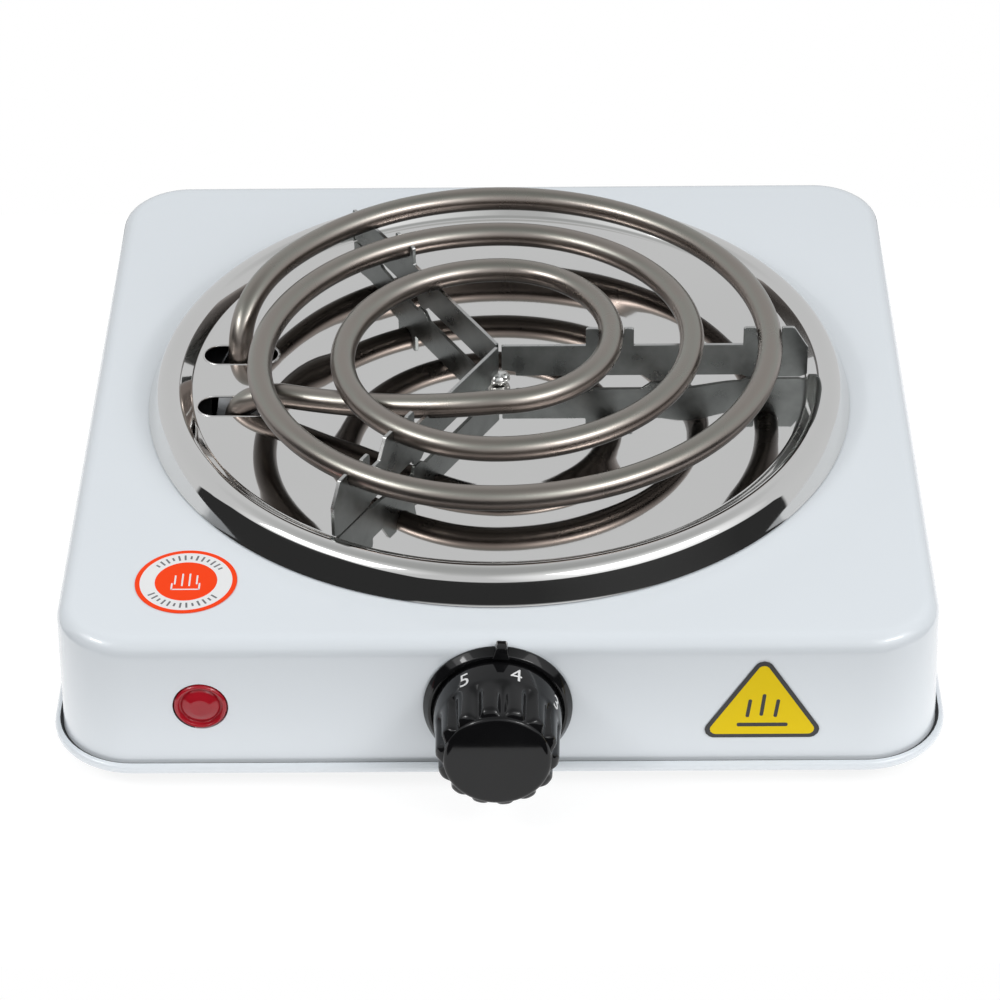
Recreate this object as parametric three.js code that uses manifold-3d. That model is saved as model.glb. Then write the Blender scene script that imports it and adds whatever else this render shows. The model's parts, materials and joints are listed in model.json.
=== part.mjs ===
// Single-coil electric hot plate, modelled as an assembly of separate solids.
//
// Units are millimetres and +Z is up. The front of the hot plate, with the knob, faces -Y.
// The origin is on the table, under the middle of the whole object.

import * as THREE from 'three';
import { mergeVertices } from 'three/addons/utils/BufferGeometryUtils.js';
import Module from 'manifold-3d';

const wasm = await Module();
wasm.setup();

// ---------------------------------------------------------------------------------------------- driving dimensions

const GAP = 0.3;                 // clearance between pieces that rest on or pass through each other
const RUNNING_GAP = 0.08;        // radial clearance of a shaft that turns in its bore

// Housing
const FOOT_DROP = 6;             // lower edge of the housing above the table
const BODY_HEIGHT = 38.5;        // housing, lower edge to top face
const TOP_WIDTH = 215.8;         // width of the housing where the walls start, under the top edge
const TOP_DEPTH = 213.5;
const CORNER_RADIUS = 18;
const EDGE_RADIUS = 4.2;         // round of the top edge
const FLARE_ANGLE = THREE.MathUtils.degToRad(2);
const LIP_OUT = 2.2;             // rolled lower lip stands this far out of the wall
const LIP_HEIGHT = 2.7;
const SHEET = 0.8;
const TOP_OPENING_RADIUS = 76;

// Drip pan
const PAN_CENTRE_Y = -1;
const PAN_RADIUS = 92.5;
const PAN_FLOOR_RADIUS = 79.8;
const PAN_FLOOR_RISE = 4.5;      // outer part of the pan's floor above the housing's top face
const PAN_DISH_DEPTH = 1.1;      // middle of the floor below its outer part
const PAN_DISH = { from: 46, to: 64 };
const PAN_WALL_ANGLE = 45;       // slope of the wall inside the ring, in degrees
const PAN_WALL_ROUND = 2;
const PAN_CREST_ROUND = 4;
const PAN_CREST_RADIUS = 86.2;
const PAN_CREST_RISE = 8.6;
const PAN_SHEET = 0.7;
const SLOT_LENGTH = 20.4;
const SLOT_WIDTH = 9.6;
const SLOT_X = -68.8;            // middle of the slots
const SLOT_OFFSET_Y = 12;        // slots lie this far to each side of the pan's centre line

// Heating coil
const TUBE_RADIUS = 3.2;
const COIL_RISE = 18.5;          // centre line of the coil above the housing's top face
const TURNS = [                  // reach of each turn from the pan's centre: in front, right, behind and left
  { front: -31.1, right: 29.6, rear: 31.2, left: -40.3 },
  { front: -51.7, right: 50.6, rear: 49.4, left: -61.7 },
  { front: -72.4, right: 70.9, rear: 68 },
];
const LAST_ARC_RADIUS = 67.4;
const LAST_ARC_SWEEP = 42;       // degrees past the rearmost point where the tube starts to drop
const LEG_X = -69;
const LEG_BOTTOM = 31;

// Coil support arms
const ARM_LENGTH = 81.2;
const ARM_HEIGHT = 10.5;         // top edge above the outer part of the pan's floor
const ARM_CLEARANCE = 1.1;       // lower edge above the outer part of the pan's floor, between the feet
const ARM_THICKNESS = 1;
const ARM_START = 0.8;           // inner end of each strip, from the hub's axis
const EAR_HEIGHT = 5.3;
const NOTCH_HALF = TUBE_RADIUS + GAP;

// Element hinge, under the pan
const PIVOT_Z = 40.5;
const TRUNNION_RADIUS = 1.5;
const YOKE_WIDTH = 11;
const YOKE_THICKNESS = 3.4;
const YOKE_REACH = 20;           // half length of the yoke along Y
const FORK_SHEET = 1.5;

// Controls on the front wall
const CONTROL_DROP = 19;       // knob and lamp centres below the top face
const BEZEL_RADIUS = 18.2;
const BEZEL_HEIGHT = 2.9;
const NUB_TURN = THREE.MathUtils.degToRad(3.4);    // pointer nub, clockwise from the top
const KNOB_BACK = 3.2;
const KNOB_FRONT = 22.3;
const KNOB_SKIRT_RADIUS = 15.9;
const KNOB_FACE_RADIUS = 12.8;
const KNOB_LOBES = 14;
const KNOB_VALLEY = THREE.MathUtils.degToRad(5.7); // first valley between lobes, clockwise from the top
const SHAFT_RADIUS = 3;
const SHAFT_FLAT = 1.8;
const BUSH_BORE = SHAFT_RADIUS + RUNNING_GAP;
const LAMP_X = -72.4;
const LENS_RADIUS = 6.5;

// Labels
const ROUND_LABEL = { x: -76.6, y: -82.3, radius: 12.6 };
const TRIANGLE_LABEL = { x: 64.4, width: 31.9, height: 25.2, drop: 16.6, corner: 2.4 };
const LABEL_THICKNESS = 0.2;

// Base
const PLATE_BOTTOM = FOOT_DROP + 0.6;
const PLATE_THICKNESS = 1;
const FOOT_X = 86;
const FOOT_Y = 80;
const FOOT_RADIUS = 8;

// Rear wall
const GLAND_X = -62;
const GLAND_Z = 22;
const GLAND_REACH = 7;           // gland stands this far out of the rear wall

// ------------------------------------------------------------------------------------------------- derived places

const TOP_Z = FOOT_DROP + BODY_HEIGHT;
const PAN_FLOOR_Z = TOP_Z + PAN_FLOOR_RISE;
const COIL_Z = TOP_Z + COIL_RISE;
const ARM_TOP_Z = PAN_FLOOR_Z + ARM_HEIGHT;
const CONTROL_Z = TOP_Z - CONTROL_DROP;
const PLATE_TOP = PLATE_BOTTOM + PLATE_THICKNESS;
const FLARE = Math.tan(FLARE_ANGLE);
const WALL_OUT_AT_LIP = (BODY_HEIGHT - EDGE_RADIUS - LIP_HEIGHT) * FLARE;

// Outward offset of the wall from its top, at height z
const wallOut = (z) => (TOP_Z - EDGE_RADIUS - z) * FLARE;
const frontWallY = (z) => -(TOP_DEPTH / 2 + wallOut(z));
const rearWallY = (z) => TOP_DEPTH / 2 + wallOut(z);

// The whole object is centred front to back between the knob's face and the gland's end
const KNOB_REACH = KNOB_FRONT * Math.cos(FLARE_ANGLE) + KNOB_FACE_RADIUS * Math.sin(FLARE_ANGLE);
const FRONT_REACH = KNOB_REACH - frontWallY(CONTROL_Z);
const REAR_REACH = rearWallY(GLAND_Z) + GLAND_REACH;
const CENTRE_SHIFT = (FRONT_REACH - REAR_REACH) / 2;

// ------------------------------------------------------------------------------------------------------- materials

const material = (color, roughness, metalness) => new THREE.MeshStandardMaterial({ color, roughness, metalness });
const enamel = material(0xe6edf2, 0.25, 0);
const mirror = material(0xc9c9c6, 0.05, 1);
const sheath = material(0x8d857e, 0.4, 0.9);
const zinc = material(0x7d8381, 0.4, 0.9);
const steel = material(0xb4b6b8, 0.35, 0.9);
const brass = material(0xb59a4e, 0.35, 0.9);
const blackPlastic = material(0x131314, 0.15, 0);
const redLens = material(0xaf1e28, 0.1, 0);
const ceramic = material(0xe9e4d8, 0.5, 0);
const rubber = material(0x1c1c1c, 0.8, 0);
const insulation = material(0xd8d2c4, 0.6, 0);
const glass = material(0xffd9c0, 0.1, 0);
const orangeLabel = material(0xff4b05, 0.4, 0);
const yellowLabel = material(0xe3cf12, 0.4, 0);

// ------------------------------------------------------------------------------------------------ geometry helpers

const V2 = (x, y) => new THREE.Vector2(x, y);
const V3 = (x, y, z) => new THREE.Vector3(x, y, z);

// Turns the faces of a closed geometry outwards, keeping only its positions
function closed(geometry) {
  geometry.deleteAttribute('normal');
  geometry.deleteAttribute('uv');
  const merged = mergeVertices(geometry, 1e-4);
  const p = merged.attributes.position;
  const index = merged.index.array;
  let volume = 0;
  for (let i = 0; i < index.length; i += 3) {
    const [a, b, c] = [0, 1, 2].map((k) => new THREE.Vector3().fromBufferAttribute(p, index[i + k]));
    volume += a.dot(b.cross(c));
  }
  if (volume < 0) {
    for (let i = 0; i < index.length; i += 3) {
      [index[i + 1], index[i + 2]] = [index[i + 2], index[i + 1]];
    }
  }
  return merged;
}

function toSolid(geometry) {
  const g = closed(geometry);
  const vertProperties = new Float32Array(g.attributes.position.array);
  const triVerts = new Uint32Array(g.index.array);
  return new wasm.Manifold(new wasm.Mesh({ numProp: 3, vertProperties, triVerts }));
}

function fromSolid(solid) {
  const mesh = solid.getMesh();
  const geometry = new THREE.BufferGeometry();
  geometry.setAttribute('position', new THREE.BufferAttribute(new Float32Array(mesh.vertProperties), 3));
  geometry.setIndex(new THREE.BufferAttribute(new Uint32Array(mesh.triVerts), 1));
  return geometry;
}

function cut(geometry, ...tools) {
  return fromSolid(tools.reduce((solid, tool) => solid.subtract(toSolid(tool)), toSolid(geometry)));
}

function join(geometry, ...others) {
  return fromSolid(others.reduce((solid, other) => solid.add(toSolid(other)), toSolid(geometry)));
}

// Box given by its lowest and highest corners
function block(x0, y0, z0, x1, y1, z1) {
  return new THREE.BoxGeometry(x1 - x0, y1 - y0, z1 - z0)
    .translate((x0 + x1) / 2, (y0 + y1) / 2, (z0 + z1) / 2);
}

// Solid of revolution about Z from [radius, z] pairs
function turned(profile, segments = 24) {
  return new THREE.LatheGeometry(profile.map(([r, z]) => V2(r, z)), segments).rotateX(Math.PI / 2);
}

// Cylinder about Z from z0 to z1
function rod(radius, z0, z1, segments = 16) {
  return turned([[0, z0], [radius, z0], [radius, z1], [0, z1]], segments);
}

// Ring about Z with a bore
function sleeve(inner, outer, z0, z1, segments = 20) {
  return turned([[inner, z0], [outer, z0], [outer, z1], [inner, z1], [inner, z0]], segments);
}

function roundedRectangle(width, depth, radius, steps = 7) {
  const loop = [];
  const corners = [[1, 1, 0], [-1, 1, 90], [-1, -1, 180], [1, -1, 270]];
  for (const [sx, sy, start] of corners) {
    for (let k = 0; k <= steps; k++) {
      const a = THREE.MathUtils.degToRad(start + (90 * k) / steps);
      const [cx, cy] = [sx * (width / 2 - radius), sy * (depth / 2 - radius)];
      loop.push(V2(cx + radius * Math.cos(a), cy + radius * Math.sin(a)));
    }
  }
  return loop;
}

// Closed solid through a stack of loops with the same number of points, each level { z, loop }
function lofted(levels) {
  const count = levels[0].loop.length;
  const positions = [];
  const index = [];
  for (const { z, loop } of levels) {
    for (const p of loop) positions.push(p.x, p.y, z);
  }
  for (let k = 0; k + 1 < levels.length; k++) {
    for (let i = 0; i < count; i++) {
      const a = k * count + i;
      const b = k * count + ((i + 1) % count);
      index.push(a, b, b + count, a, b + count, a + count);
    }
  }
  for (const k of [0, levels.length - 1]) {
    const centre = positions.length / 3;
    positions.push(0, 0, levels[k].z);
    for (let i = 0; i < count; i++) {
      const a = k * count + i;
      const b = k * count + ((i + 1) % count);
      index.push(...(k === 0 ? [centre, b, a] : [centre, a, b]));
    }
  }
  const geometry = new THREE.BufferGeometry();
  geometry.setAttribute('position', new THREE.Float32BufferAttribute(positions, 3));
  geometry.setIndex(index);
  return geometry;
}

// Flat plate of a Shape in XY, from z0 to z1
function plate(shape, z0, z1, curveSegments = 6) {
  return new THREE.ExtrudeGeometry(shape, { depth: z1 - z0, bevelEnabled: false, curveSegments }).translate(0, 0, z0);
}

function obround(length, width) {
  const r = width / 2;
  const s = length / 2 - r;
  const shape = new THREE.Shape();
  shape.moveTo(-s, -r).lineTo(s, -r).absarc(s, 0, r, -Math.PI / 2, Math.PI / 2, false);
  shape.lineTo(-s, r).absarc(-s, 0, r, Math.PI / 2, Math.PI * 1.5, false);
  return shape;
}

// Round tube along a smooth curve through the given points
function tube(points, radius, sides, steps) {
  const section = new THREE.Shape();
  for (let i = 0; i < sides; i++) {
    const a = (2 * Math.PI * i) / sides;
    const p = V2(radius * Math.cos(a), radius * Math.sin(a));
    if (i === 0) section.moveTo(p.x, p.y);
    else section.lineTo(p.x, p.y);
  }
  const extrudePath = new THREE.CatmullRomCurve3(points, false, 'centripetal');
  extrudePath.arcLengthDivisions = 2000;
  return new THREE.ExtrudeGeometry(section, { steps, extrudePath, bevelEnabled: false });
}

const hotPlate = new THREE.Group();
hotPlate.position.y = CENTRE_SHIFT;

function add(name, geometry, mat, parent = hotPlate) {
  const mesh = new THREE.Mesh(closed(geometry), mat);
  mesh.name = name;
  parent.add(mesh);
  return mesh;
}

// --------------------------------------------------------------------------------------------------------- housing

// Outline of the housing with its walls moved out by the offset
function bodyLoop(offset) {
  return roundedRectangle(TOP_WIDTH + 2 * offset, TOP_DEPTH + 2 * offset, CORNER_RADIUS + offset);
}

// Stack of outlines from the lower edge to the rounded top edge, moved in by inset
function bodyLevels(bottomZ, inset) {
  const levels = [];
  const top = TOP_Z - inset;
  const radius = EDGE_RADIUS - inset;
  const steps = 4;
  levels.push({ z: bottomZ, loop: bodyLoop(wallOut(bottomZ) - inset) });
  for (let k = 0; k <= steps; k++) {
    const a = (Math.PI / 2) * (k / steps);
    levels.push({ z: top - radius * (1 - Math.sin(a)), loop: bodyLoop(-inset - radius * (1 - Math.cos(a))) });
  }
  return levels;
}

function housing() {
  const lipTop = FOOT_DROP + LIP_HEIGHT;
  const lipOffset = WALL_OUT_AT_LIP + LIP_OUT;
  const wall = bodyLevels(lipTop + 0.4, 0);
  const outer = lofted([
    { z: FOOT_DROP, loop: bodyLoop(lipOffset - 0.6) },
    { z: FOOT_DROP + 0.8, loop: bodyLoop(lipOffset) },
    { z: lipTop - 0.6, loop: bodyLoop(lipOffset) },
    { z: lipTop, loop: bodyLoop(lipOffset - 0.7) },
    { z: lipTop + 0.2, loop: bodyLoop(wallOut(lipTop)) },
    ...wall,
  ]);
  const inner = lofted(bodyLevels(FOOT_DROP - 1, SHEET));
  const opening = rod(TOP_OPENING_RADIUS, TOP_Z - 3, TOP_Z + 1, 40).translate(0, PAN_CENTRE_Y, 0);
  const onWall = (g, x) => g.rotateX(Math.PI / 2 - FLARE_ANGLE).translate(x, frontWallY(CONTROL_Z), CONTROL_Z);
  const shaftHole = onWall(rod(5.6, -3, 3, 16), 0);
  const screwHoles = [-9, 9].map((x) => onWall(rod(1.7, -3, 3, 10), x));
  const lampHole = onWall(rod(LENS_RADIUS + GAP, -3, 3, 24), LAMP_X);
  const glandHole = rod(6.6, -3, 3, 20).rotateX(Math.PI / 2).translate(GLAND_X, rearWallY(GLAND_Z), GLAND_Z);
  return cut(outer, inner, opening, shaftHole, ...screwHoles, lampHole, glandHole);
}

add('housing', housing(), enamel);

// -------------------------------------------------------------------------------------------------------- drip pan

// Height of the pan's floor above the housing's top face: a shallow dish inside a flat outer part
function panFloor(radius) {
  return PAN_FLOOR_RISE - PAN_DISH_DEPTH * (1 - THREE.MathUtils.smoothstep(radius, PAN_DISH.from, PAN_DISH.to));
}

// Upper side of the pan's section, or its underside where inset is the sheet's thickness, from the middle of the
// floor over the ring to the rim that lies on the housing
function panSection(inset) {
  const points = [0, PAN_DISH.from, 52, 58, PAN_DISH.to].map((r) => [r, panFloor(r) - inset]);
  const steps = 3;
  const wall = THREE.MathUtils.degToRad(PAN_WALL_ANGLE);
  const foot = PAN_WALL_ROUND + inset;
  const head = PAN_CREST_ROUND - inset;
  for (let k = 0; k <= steps; k++) {
    const a = (wall * k) / steps;
    points.push([PAN_FLOOR_RADIUS + foot * Math.sin(a), PAN_FLOOR_RISE - inset + foot * (1 - Math.cos(a))]);
  }
  for (let k = 0; k <= steps; k++) {
    const a = wall * (1 - k / steps);
    points.push([PAN_CREST_RADIUS - head * Math.sin(a), PAN_CREST_RISE - inset - head * (1 - Math.cos(a))]);
  }
  const outer = { a: PAN_RADIUS - PAN_CREST_RADIUS - inset, b: PAN_CREST_RISE - GAP - inset };
  for (let k = 1; k <= 4; k++) {
    const a = (Math.PI / 2) * (k / 4);
    points.push([PAN_CREST_RADIUS + outer.a * Math.sin(a), GAP + outer.b * Math.cos(a)]);
  }
  return points;
}

function dripPan() {
  const dish = turned([...panSection(PAN_SHEET), ...panSection(0).reverse()], 52);
  const slots = [-1, 1].map((side) =>
    plate(obround(SLOT_LENGTH, SLOT_WIDTH), 0, 12).translate(SLOT_X, side * SLOT_OFFSET_Y, 0));
  return cut(dish, ...slots).translate(0, PAN_CENTRE_Y, TOP_Z);
}

add('drip_pan', dripPan(), mirror);

// Shallow dish under the pan that keeps the heat off the base, open on the side of the hinge
function heatShield() {
  const sheet = 0.6;
  const rim = TOP_Z - SHEET - GAP;
  const profile = [[0, -9], [62, -9], [71, -1], [84, -1], [84, 0], [70.6, 0], [61.6, -9 + sheet], [0, -9 + sheet]];
  const hingeBay = block(-100, -34, rim - 15, -54, 34, rim + 5);
  return cut(turned(profile, 40).translate(0, 0, rim), hingeBay).translate(0, PAN_CENTRE_Y, 0);
}

add('heat_shield', heatShield(), steel);

// ------------------------------------------------------------------------------------------- element: heating coil

// Points on an oval arc about (0, centreY), with the angle measured anticlockwise from the front
function arcPoints(centreY, radiusX, radiusY, from, to) {
  const stepAngle = 10;
  const count = Math.max(2, Math.round(Math.abs(to - from) / stepAngle));
  return Array.from({ length: count }, (_, k) => {
    const a = THREE.MathUtils.degToRad(from + ((to - from) * k) / count);
    return V3(radiusX * Math.sin(a), PAN_CENTRE_Y + centreY - radiusY * Math.cos(a), COIL_Z);
  });
}

// Half a turn between a front and a rear point, on the right-hand side or back round on the left
const halfTurn = (front, rear, reach, from) =>
  arcPoints((rear + front) / 2, reach, (rear - front) / 2, from, from + 180);

const bezierPoints = (a, b, c, d, count) => new THREE.CubicBezierCurve3(a, b, c, d).getPoints(count).slice(1);

// Centre line of the coil: up through the front slot, along the lead, three turns outwards, down the rear slot
function coilCentreLine() {
  const frontLegY = PAN_CENTRE_Y - SLOT_OFFSET_Y - 0.4;
  const rearLegY = PAN_CENTRE_Y + SLOT_OFFSET_Y - 0.4;
  const frontLeg = (dx, dy, dz) => V3(LEG_X + dx, frontLegY + dy, PAN_FLOOR_Z + dz);
  const rearLeg = (dz, dy = 0) => V3(LEG_X, rearLegY + dy, PAN_FLOOR_Z + dz);
  const start = V3(0, PAN_CENTRE_Y + TURNS[0].front, COIL_Z);
  const points = [V3(LEG_X, frontLegY, LEG_BOTTOM), V3(LEG_X, frontLegY, LEG_BOTTOM + 7), frontLeg(0, 0, -7)];
  const bendOut = frontLeg(13, -2.4, 5.2);
  points.push(...bezierPoints(frontLeg(0, 0, -7), frontLeg(0, 0, 1), frontLeg(3.5, -0.6, 4), bendOut, 6));
  const leadIn = start.clone().add(V3(-22, 0, -2.4));
  points.push(...bezierPoints(bendOut, frontLeg(30, -7, 5), leadIn, start, 7));
  points.pop();
  TURNS.forEach(({ front, right, rear, left }, k) => {
    points.push(...halfTurn(front, rear, right, 0));
    if (k + 1 < TURNS.length) points.push(...halfTurn(TURNS[k + 1].front, rear, -left, 180));
  });
  const lastCentre = TURNS.at(-1).rear - LAST_ARC_RADIUS;
  const endAngle = THREE.MathUtils.degToRad(180 + LAST_ARC_SWEEP);
  points.push(...arcPoints(lastCentre, LAST_ARC_RADIUS, LAST_ARC_RADIUS, 180, 180 + LAST_ARC_SWEEP));
  const endY = PAN_CENTRE_Y + lastCentre - LAST_ARC_RADIUS * Math.cos(endAngle);
  const end = V3(LAST_ARC_RADIUS * Math.sin(endAngle), endY, COIL_Z);
  const onwards = end.clone().add(V3(Math.cos(endAngle), Math.sin(endAngle), 0).multiplyScalar(24));
  points.push(end, ...bezierPoints(end, onwards, rearLeg(17, 1.5), rearLeg(-1), 9));
  points.push(rearLeg(-7), V3(LEG_X, rearLegY, LEG_BOTTOM + 5), V3(LEG_X, rearLegY, LEG_BOTTOM));
  return points;
}

const element = new THREE.Group();
hotPlate.add(element);

const coilLine = coilCentreLine();
add('heating_coil', tube(coilLine, TUBE_RADIUS, 8, 150), sheath, element);

// --------------------------------------------------------------------------------------------------- support arms

// Distances from the pan's centre at which the coil crosses the ray at the given angle
function crossings(angle) {
  const ray = V2(Math.cos(angle), Math.sin(angle));
  const found = [];
  for (let i = 0; i + 1 < coilLine.length; i++) {
    const [a, b] = [coilLine[i], coilLine[i + 1]].map((p) => V2(p.x, p.y - PAN_CENTRE_Y));
    const [sa, sb] = [ray.cross(a), ray.cross(b)];
    if (sa * sb > 0 || ray.dot(a) < 0 || a.distanceTo(b) < 1e-6) continue;
    if (coilLine[i].z < COIL_Z - 0.01 || coilLine[i + 1].z < COIL_Z - 0.01) continue;
    found.push(a.lerp(b, sa / (sa - sb)).length());
  }
  return found.sort((p, q) => p - q);
}

// One strip on edge: feet below, and above it ears on the inner and outer side of the chosen turns, given by their
// widths. The outer ear slopes down to the strip's top edge unless it is steep.
function armStrip(ears) {
  const low = PAN_FLOOR_Z + ARM_CLEARANCE;
  const foot = (radius) => [radius, TOP_Z + panFloor(radius) + GAP];
  const outline = [
    [4.5, low], [37.8, low], foot(40.2), foot(43.4), [44, low], [64, low], foot(65.4), foot(ARM_LENGTH - 2),
    [ARM_LENGTH, low], [ARM_LENGTH, ARM_TOP_Z - 1],
  ];
  const tip = ARM_TOP_Z + EAR_HEIGHT;
  for (const { radius, inner, outer, steep } of [...ears].reverse()) {
    const near = radius + NOTCH_HALF;
    const far = radius - NOTCH_HALF;
    if (outer) {
      const slopeEnd = steep ? near + outer : Math.min(near + outer + 3.2, ARM_LENGTH - 0.4);
      outline.push([slopeEnd, ARM_TOP_Z], [near + outer, tip - 0.6], [near + outer - 0.6, tip], [near + 0.6, tip]);
      outline.push([near, tip - 1], [near, ARM_TOP_Z]);
    }
    if (inner) {
      outline.push([far, ARM_TOP_Z], [far, tip - 1], [far - 0.6, tip]);
      outline.push([far - inner + 0.6, tip], [far - inner, tip - 1.4], [far - inner, ARM_TOP_Z]);
    }
  }
  outline.push([ARM_START, ARM_TOP_Z], [ARM_START, low + 2], [4.5, low + 1.2]);
  const strip = plate(new THREE.Shape(outline.map(([r, z]) => V2(r, z))), -ARM_THICKNESS / 2, ARM_THICKNESS / 2);
  return strip.rotateX(Math.PI / 2);
}

const ARMS = [
  {
    name: 'coil_arm_right', angle: 0,
    ears: [{ turn: 0, inner: 3.4, outer: 2.6, steep: true }, { turn: 2, inner: 3.4, outer: 3.2 }],
  },
  { name: 'coil_arm_rear', angle: 120, ears: [{ turn: 1, inner: 1.6, outer: 1.6, steep: true }] },
  {
    name: 'coil_arm_front', angle: 240,
    ears: [{ turn: -2, inner: 3.4, outer: 3.4 }, { turn: -1, inner: 3.4, outer: 3.4 }],
  },
];
const coilClearance = tube(coilLine, (TUBE_RADIUS + GAP) / Math.cos(Math.PI / 8), 8, 156);
for (const { name, angle, ears } of ARMS) {
  const turn = THREE.MathUtils.degToRad(angle);
  const radii = crossings(turn);
  const places = ears.map((ear) => ({ radius: radii.at(ear.turn), ...ear }));
  const strip = armStrip(places).rotateZ(turn).translate(0, PAN_CENTRE_Y, 0);
  add(name, cut(strip, coilClearance.clone()), zinc, element);
}

// Weld that ties the three strips together at the hub: a low bead under the strips' inner ends
const weldTop = PAN_FLOOR_Z + ARM_CLEARANCE + 0.9;
const hubWeld = turned([
  [0, weldTop - 2.7], [1.6, weldTop - 2.5], [2.8, weldTop - 1.7], [3, weldTop - 1], [2.2, weldTop - 0.2], [0, weldTop],
], 14);
add('hub_weld', hubWeld.translate(0, PAN_CENTRE_Y, 0), steel, element);

// --------------------------------------------------------------------------------------------------- element hinge

const LEG_YS = [PAN_CENTRE_Y - SLOT_OFFSET_Y - 0.4, PAN_CENTRE_Y + SLOT_OFFSET_Y - 0.4];
const YOKE_Y = (LEG_YS[0] + LEG_YS[1]) / 2;

// Bar across the two legs, with a trunnion on each end
function yoke() {
  const half = YOKE_THICKNESS / 2;
  const bar = block(-YOKE_WIDTH / 2, -YOKE_REACH, -half, YOKE_WIDTH / 2, YOKE_REACH, half);
  const trunnions = rod(TRUNNION_RADIUS, -YOKE_REACH - 3.5, YOKE_REACH + 3.5, 16).rotateX(Math.PI / 2);
  const legHoles = LEG_YS.map((y) => rod(TUBE_RADIUS + GAP, -5, 5, 16).translate(0, y - YOKE_Y, 0));
  return cut(join(bar, trunnions), ...legHoles).translate(LEG_X, YOKE_Y, PIVOT_Z);
}

add('element_yoke', yoke(), steel, element);

// Fixed fork: an upright web with an ear at each end, and a flange welded under the housing's top
function elementBracket() {
  const top = TOP_Z - SHEET - GAP;
  const inside = YOKE_REACH + 0.6;
  const outside = inside + FORK_SHEET;
  const webX = LEG_X - 13;
  const web = block(webX - FORK_SHEET, -outside, 33, webX, outside, top);
  const ears = [-1, 1].map((side) => {
    const [y0, y1] = side < 0 ? [-outside, -inside] : [inside, outside];
    return block(webX - 0.5, y0, 35, LEG_X + 4.5, y1, top);
  });
  const flange = block(webX - 9, -outside, top - FORK_SHEET, webX, outside, top);
  const bore = rod(TRUNNION_RADIUS + RUNNING_GAP, -outside - 2, outside + 2, 16).rotateX(Math.PI / 2)
    .translate(LEG_X, 0, PIVOT_Z);
  return cut(join(web, ...ears, flange), bore).translate(0, YOKE_Y, 0);
}

add('element_bracket', elementBracket(), zinc);

// Cold ends of the coil: a ceramic seal and a terminal pin under each leg
LEG_YS.forEach((y, k) => {
  const seal = sleeve(1.2 + GAP, 2.9, LEG_BOTTOM - 4, LEG_BOTTOM - GAP, 12);
  const pin = turned([[0, LEG_BOTTOM - 12], [1, LEG_BOTTOM - 12], [1.2, LEG_BOTTOM - 11.6], [1.2, LEG_BOTTOM - GAP],
    [0, LEG_BOTTOM - GAP]], 10);
  add(`coil_seal_${k + 1}`, seal.translate(LEG_X, y, 0), ceramic, element);
  add(`coil_terminal_${k + 1}`, pin.translate(LEG_X, y, 0), steel, element);
});

// ---------------------------------------------------------------------------------------------- knob and thermostat

// Frame on the front wall: X right, Y up along the wall, Z straight out of the wall
const controlFrame = (x) => {
  const frame = new THREE.Group();
  frame.position.set(x, frontWallY(CONTROL_Z), CONTROL_Z);
  frame.rotation.x = Math.PI / 2 - FLARE_ANGLE;
  hotPlate.add(frame);
  return frame;
};
const knobFrame = controlFrame(0);

// Fixed ring behind the knob, with the pointer nub at the top and a flat at the bottom that clears the housing's lip
function bezel() {
  const ring = turned([
    [5.8, 1.3], [15.3, 1.3], [15.7, GAP], [BEZEL_RADIUS, GAP], [BEZEL_RADIUS, 0.7], [BEZEL_RADIUS - 0.4, 1.6],
    [17, BEZEL_HEIGHT - 0.2], [16.4, BEZEL_HEIGHT], [16.1, 2.4], [5.8, 2.4], [5.8, 1.3],
  ], 36);
  const nubOutline = [[-2.1, 16.3], [2.1, 16.3], [1.5, 19.4], [1.1, 19.8], [-1.1, 19.8], [-1.5, 19.4]];
  const nub = plate(new THREE.Shape(nubOutline.map(([x, y]) => V2(x, y))), GAP, 3.6).rotateZ(-NUB_TURN);
  const lipRelief = block(-20, -25, -1, 20, -16, 6);
  return cut(join(ring, nub), lipRelief);
}

add('knob_bezel', bezel(), blackPlastic, knobFrame);

// Round loop with lobes
function lobedLoop(radius, lobe) {
  const count = KNOB_LOBES * 4;
  return Array.from({ length: count }, (_, i) => {
    const a = (2 * Math.PI * i) / count;
    const r = radius - lobe * Math.cos(KNOB_LOBES * (a - Math.PI / 2 + KNOB_VALLEY));
    return V2(r * Math.cos(a), r * Math.sin(a));
  });
}

function knob() {
  const shell = lofted([
    { z: KNOB_BACK, loop: lobedLoop(KNOB_SKIRT_RADIUS - 0.3, 0) },
    { z: KNOB_BACK + 0.4, loop: lobedLoop(KNOB_SKIRT_RADIUS, 0) },
    { z: 9.5, loop: lobedLoop(15.3, 0.05) },
    { z: 12, loop: lobedLoop(14.7, 0.45) },
    { z: KNOB_FRONT - 1.9, loop: lobedLoop(14.1, 0.65) },
    { z: KNOB_FRONT - 1.1, loop: lobedLoop(13.4, 0.2) },
    { z: KNOB_FRONT - 0.6, loop: lobedLoop(KNOB_FACE_RADIUS + 0.1, 0) },
    { z: KNOB_FRONT, loop: lobedLoop(KNOB_FACE_RADIUS - 0.4, 0) },
    { z: KNOB_FRONT - 0.5, loop: lobedLoop(11.6, 0) },
    { z: KNOB_FRONT - 1, loop: lobedLoop(8, 0) },
  ]);
  const hollow = sleeve(5.4, 13.2, KNOB_BACK - 1, 15, 28);
  const bore = rod(SHAFT_RADIUS + GAP, KNOB_BACK - 1, 17.5, 16);
  return cut(shell, hollow, bore);
}

add('knob', knob(), blackPlastic, knobFrame);

// Shaft with a flat on its outer end
const shaft = cut(rod(SHAFT_RADIUS, -15, 17, 16), block(-5, SHAFT_FLAT, 6, 5, 5, 20));
add('thermostat_shaft', shaft, steel, knobFrame);
add('knob_spring_clip', block(-1.5, SHAFT_FLAT + 0.25, 7, 1.5, SHAFT_FLAT + 0.95, 15), steel, knobFrame);

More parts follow.
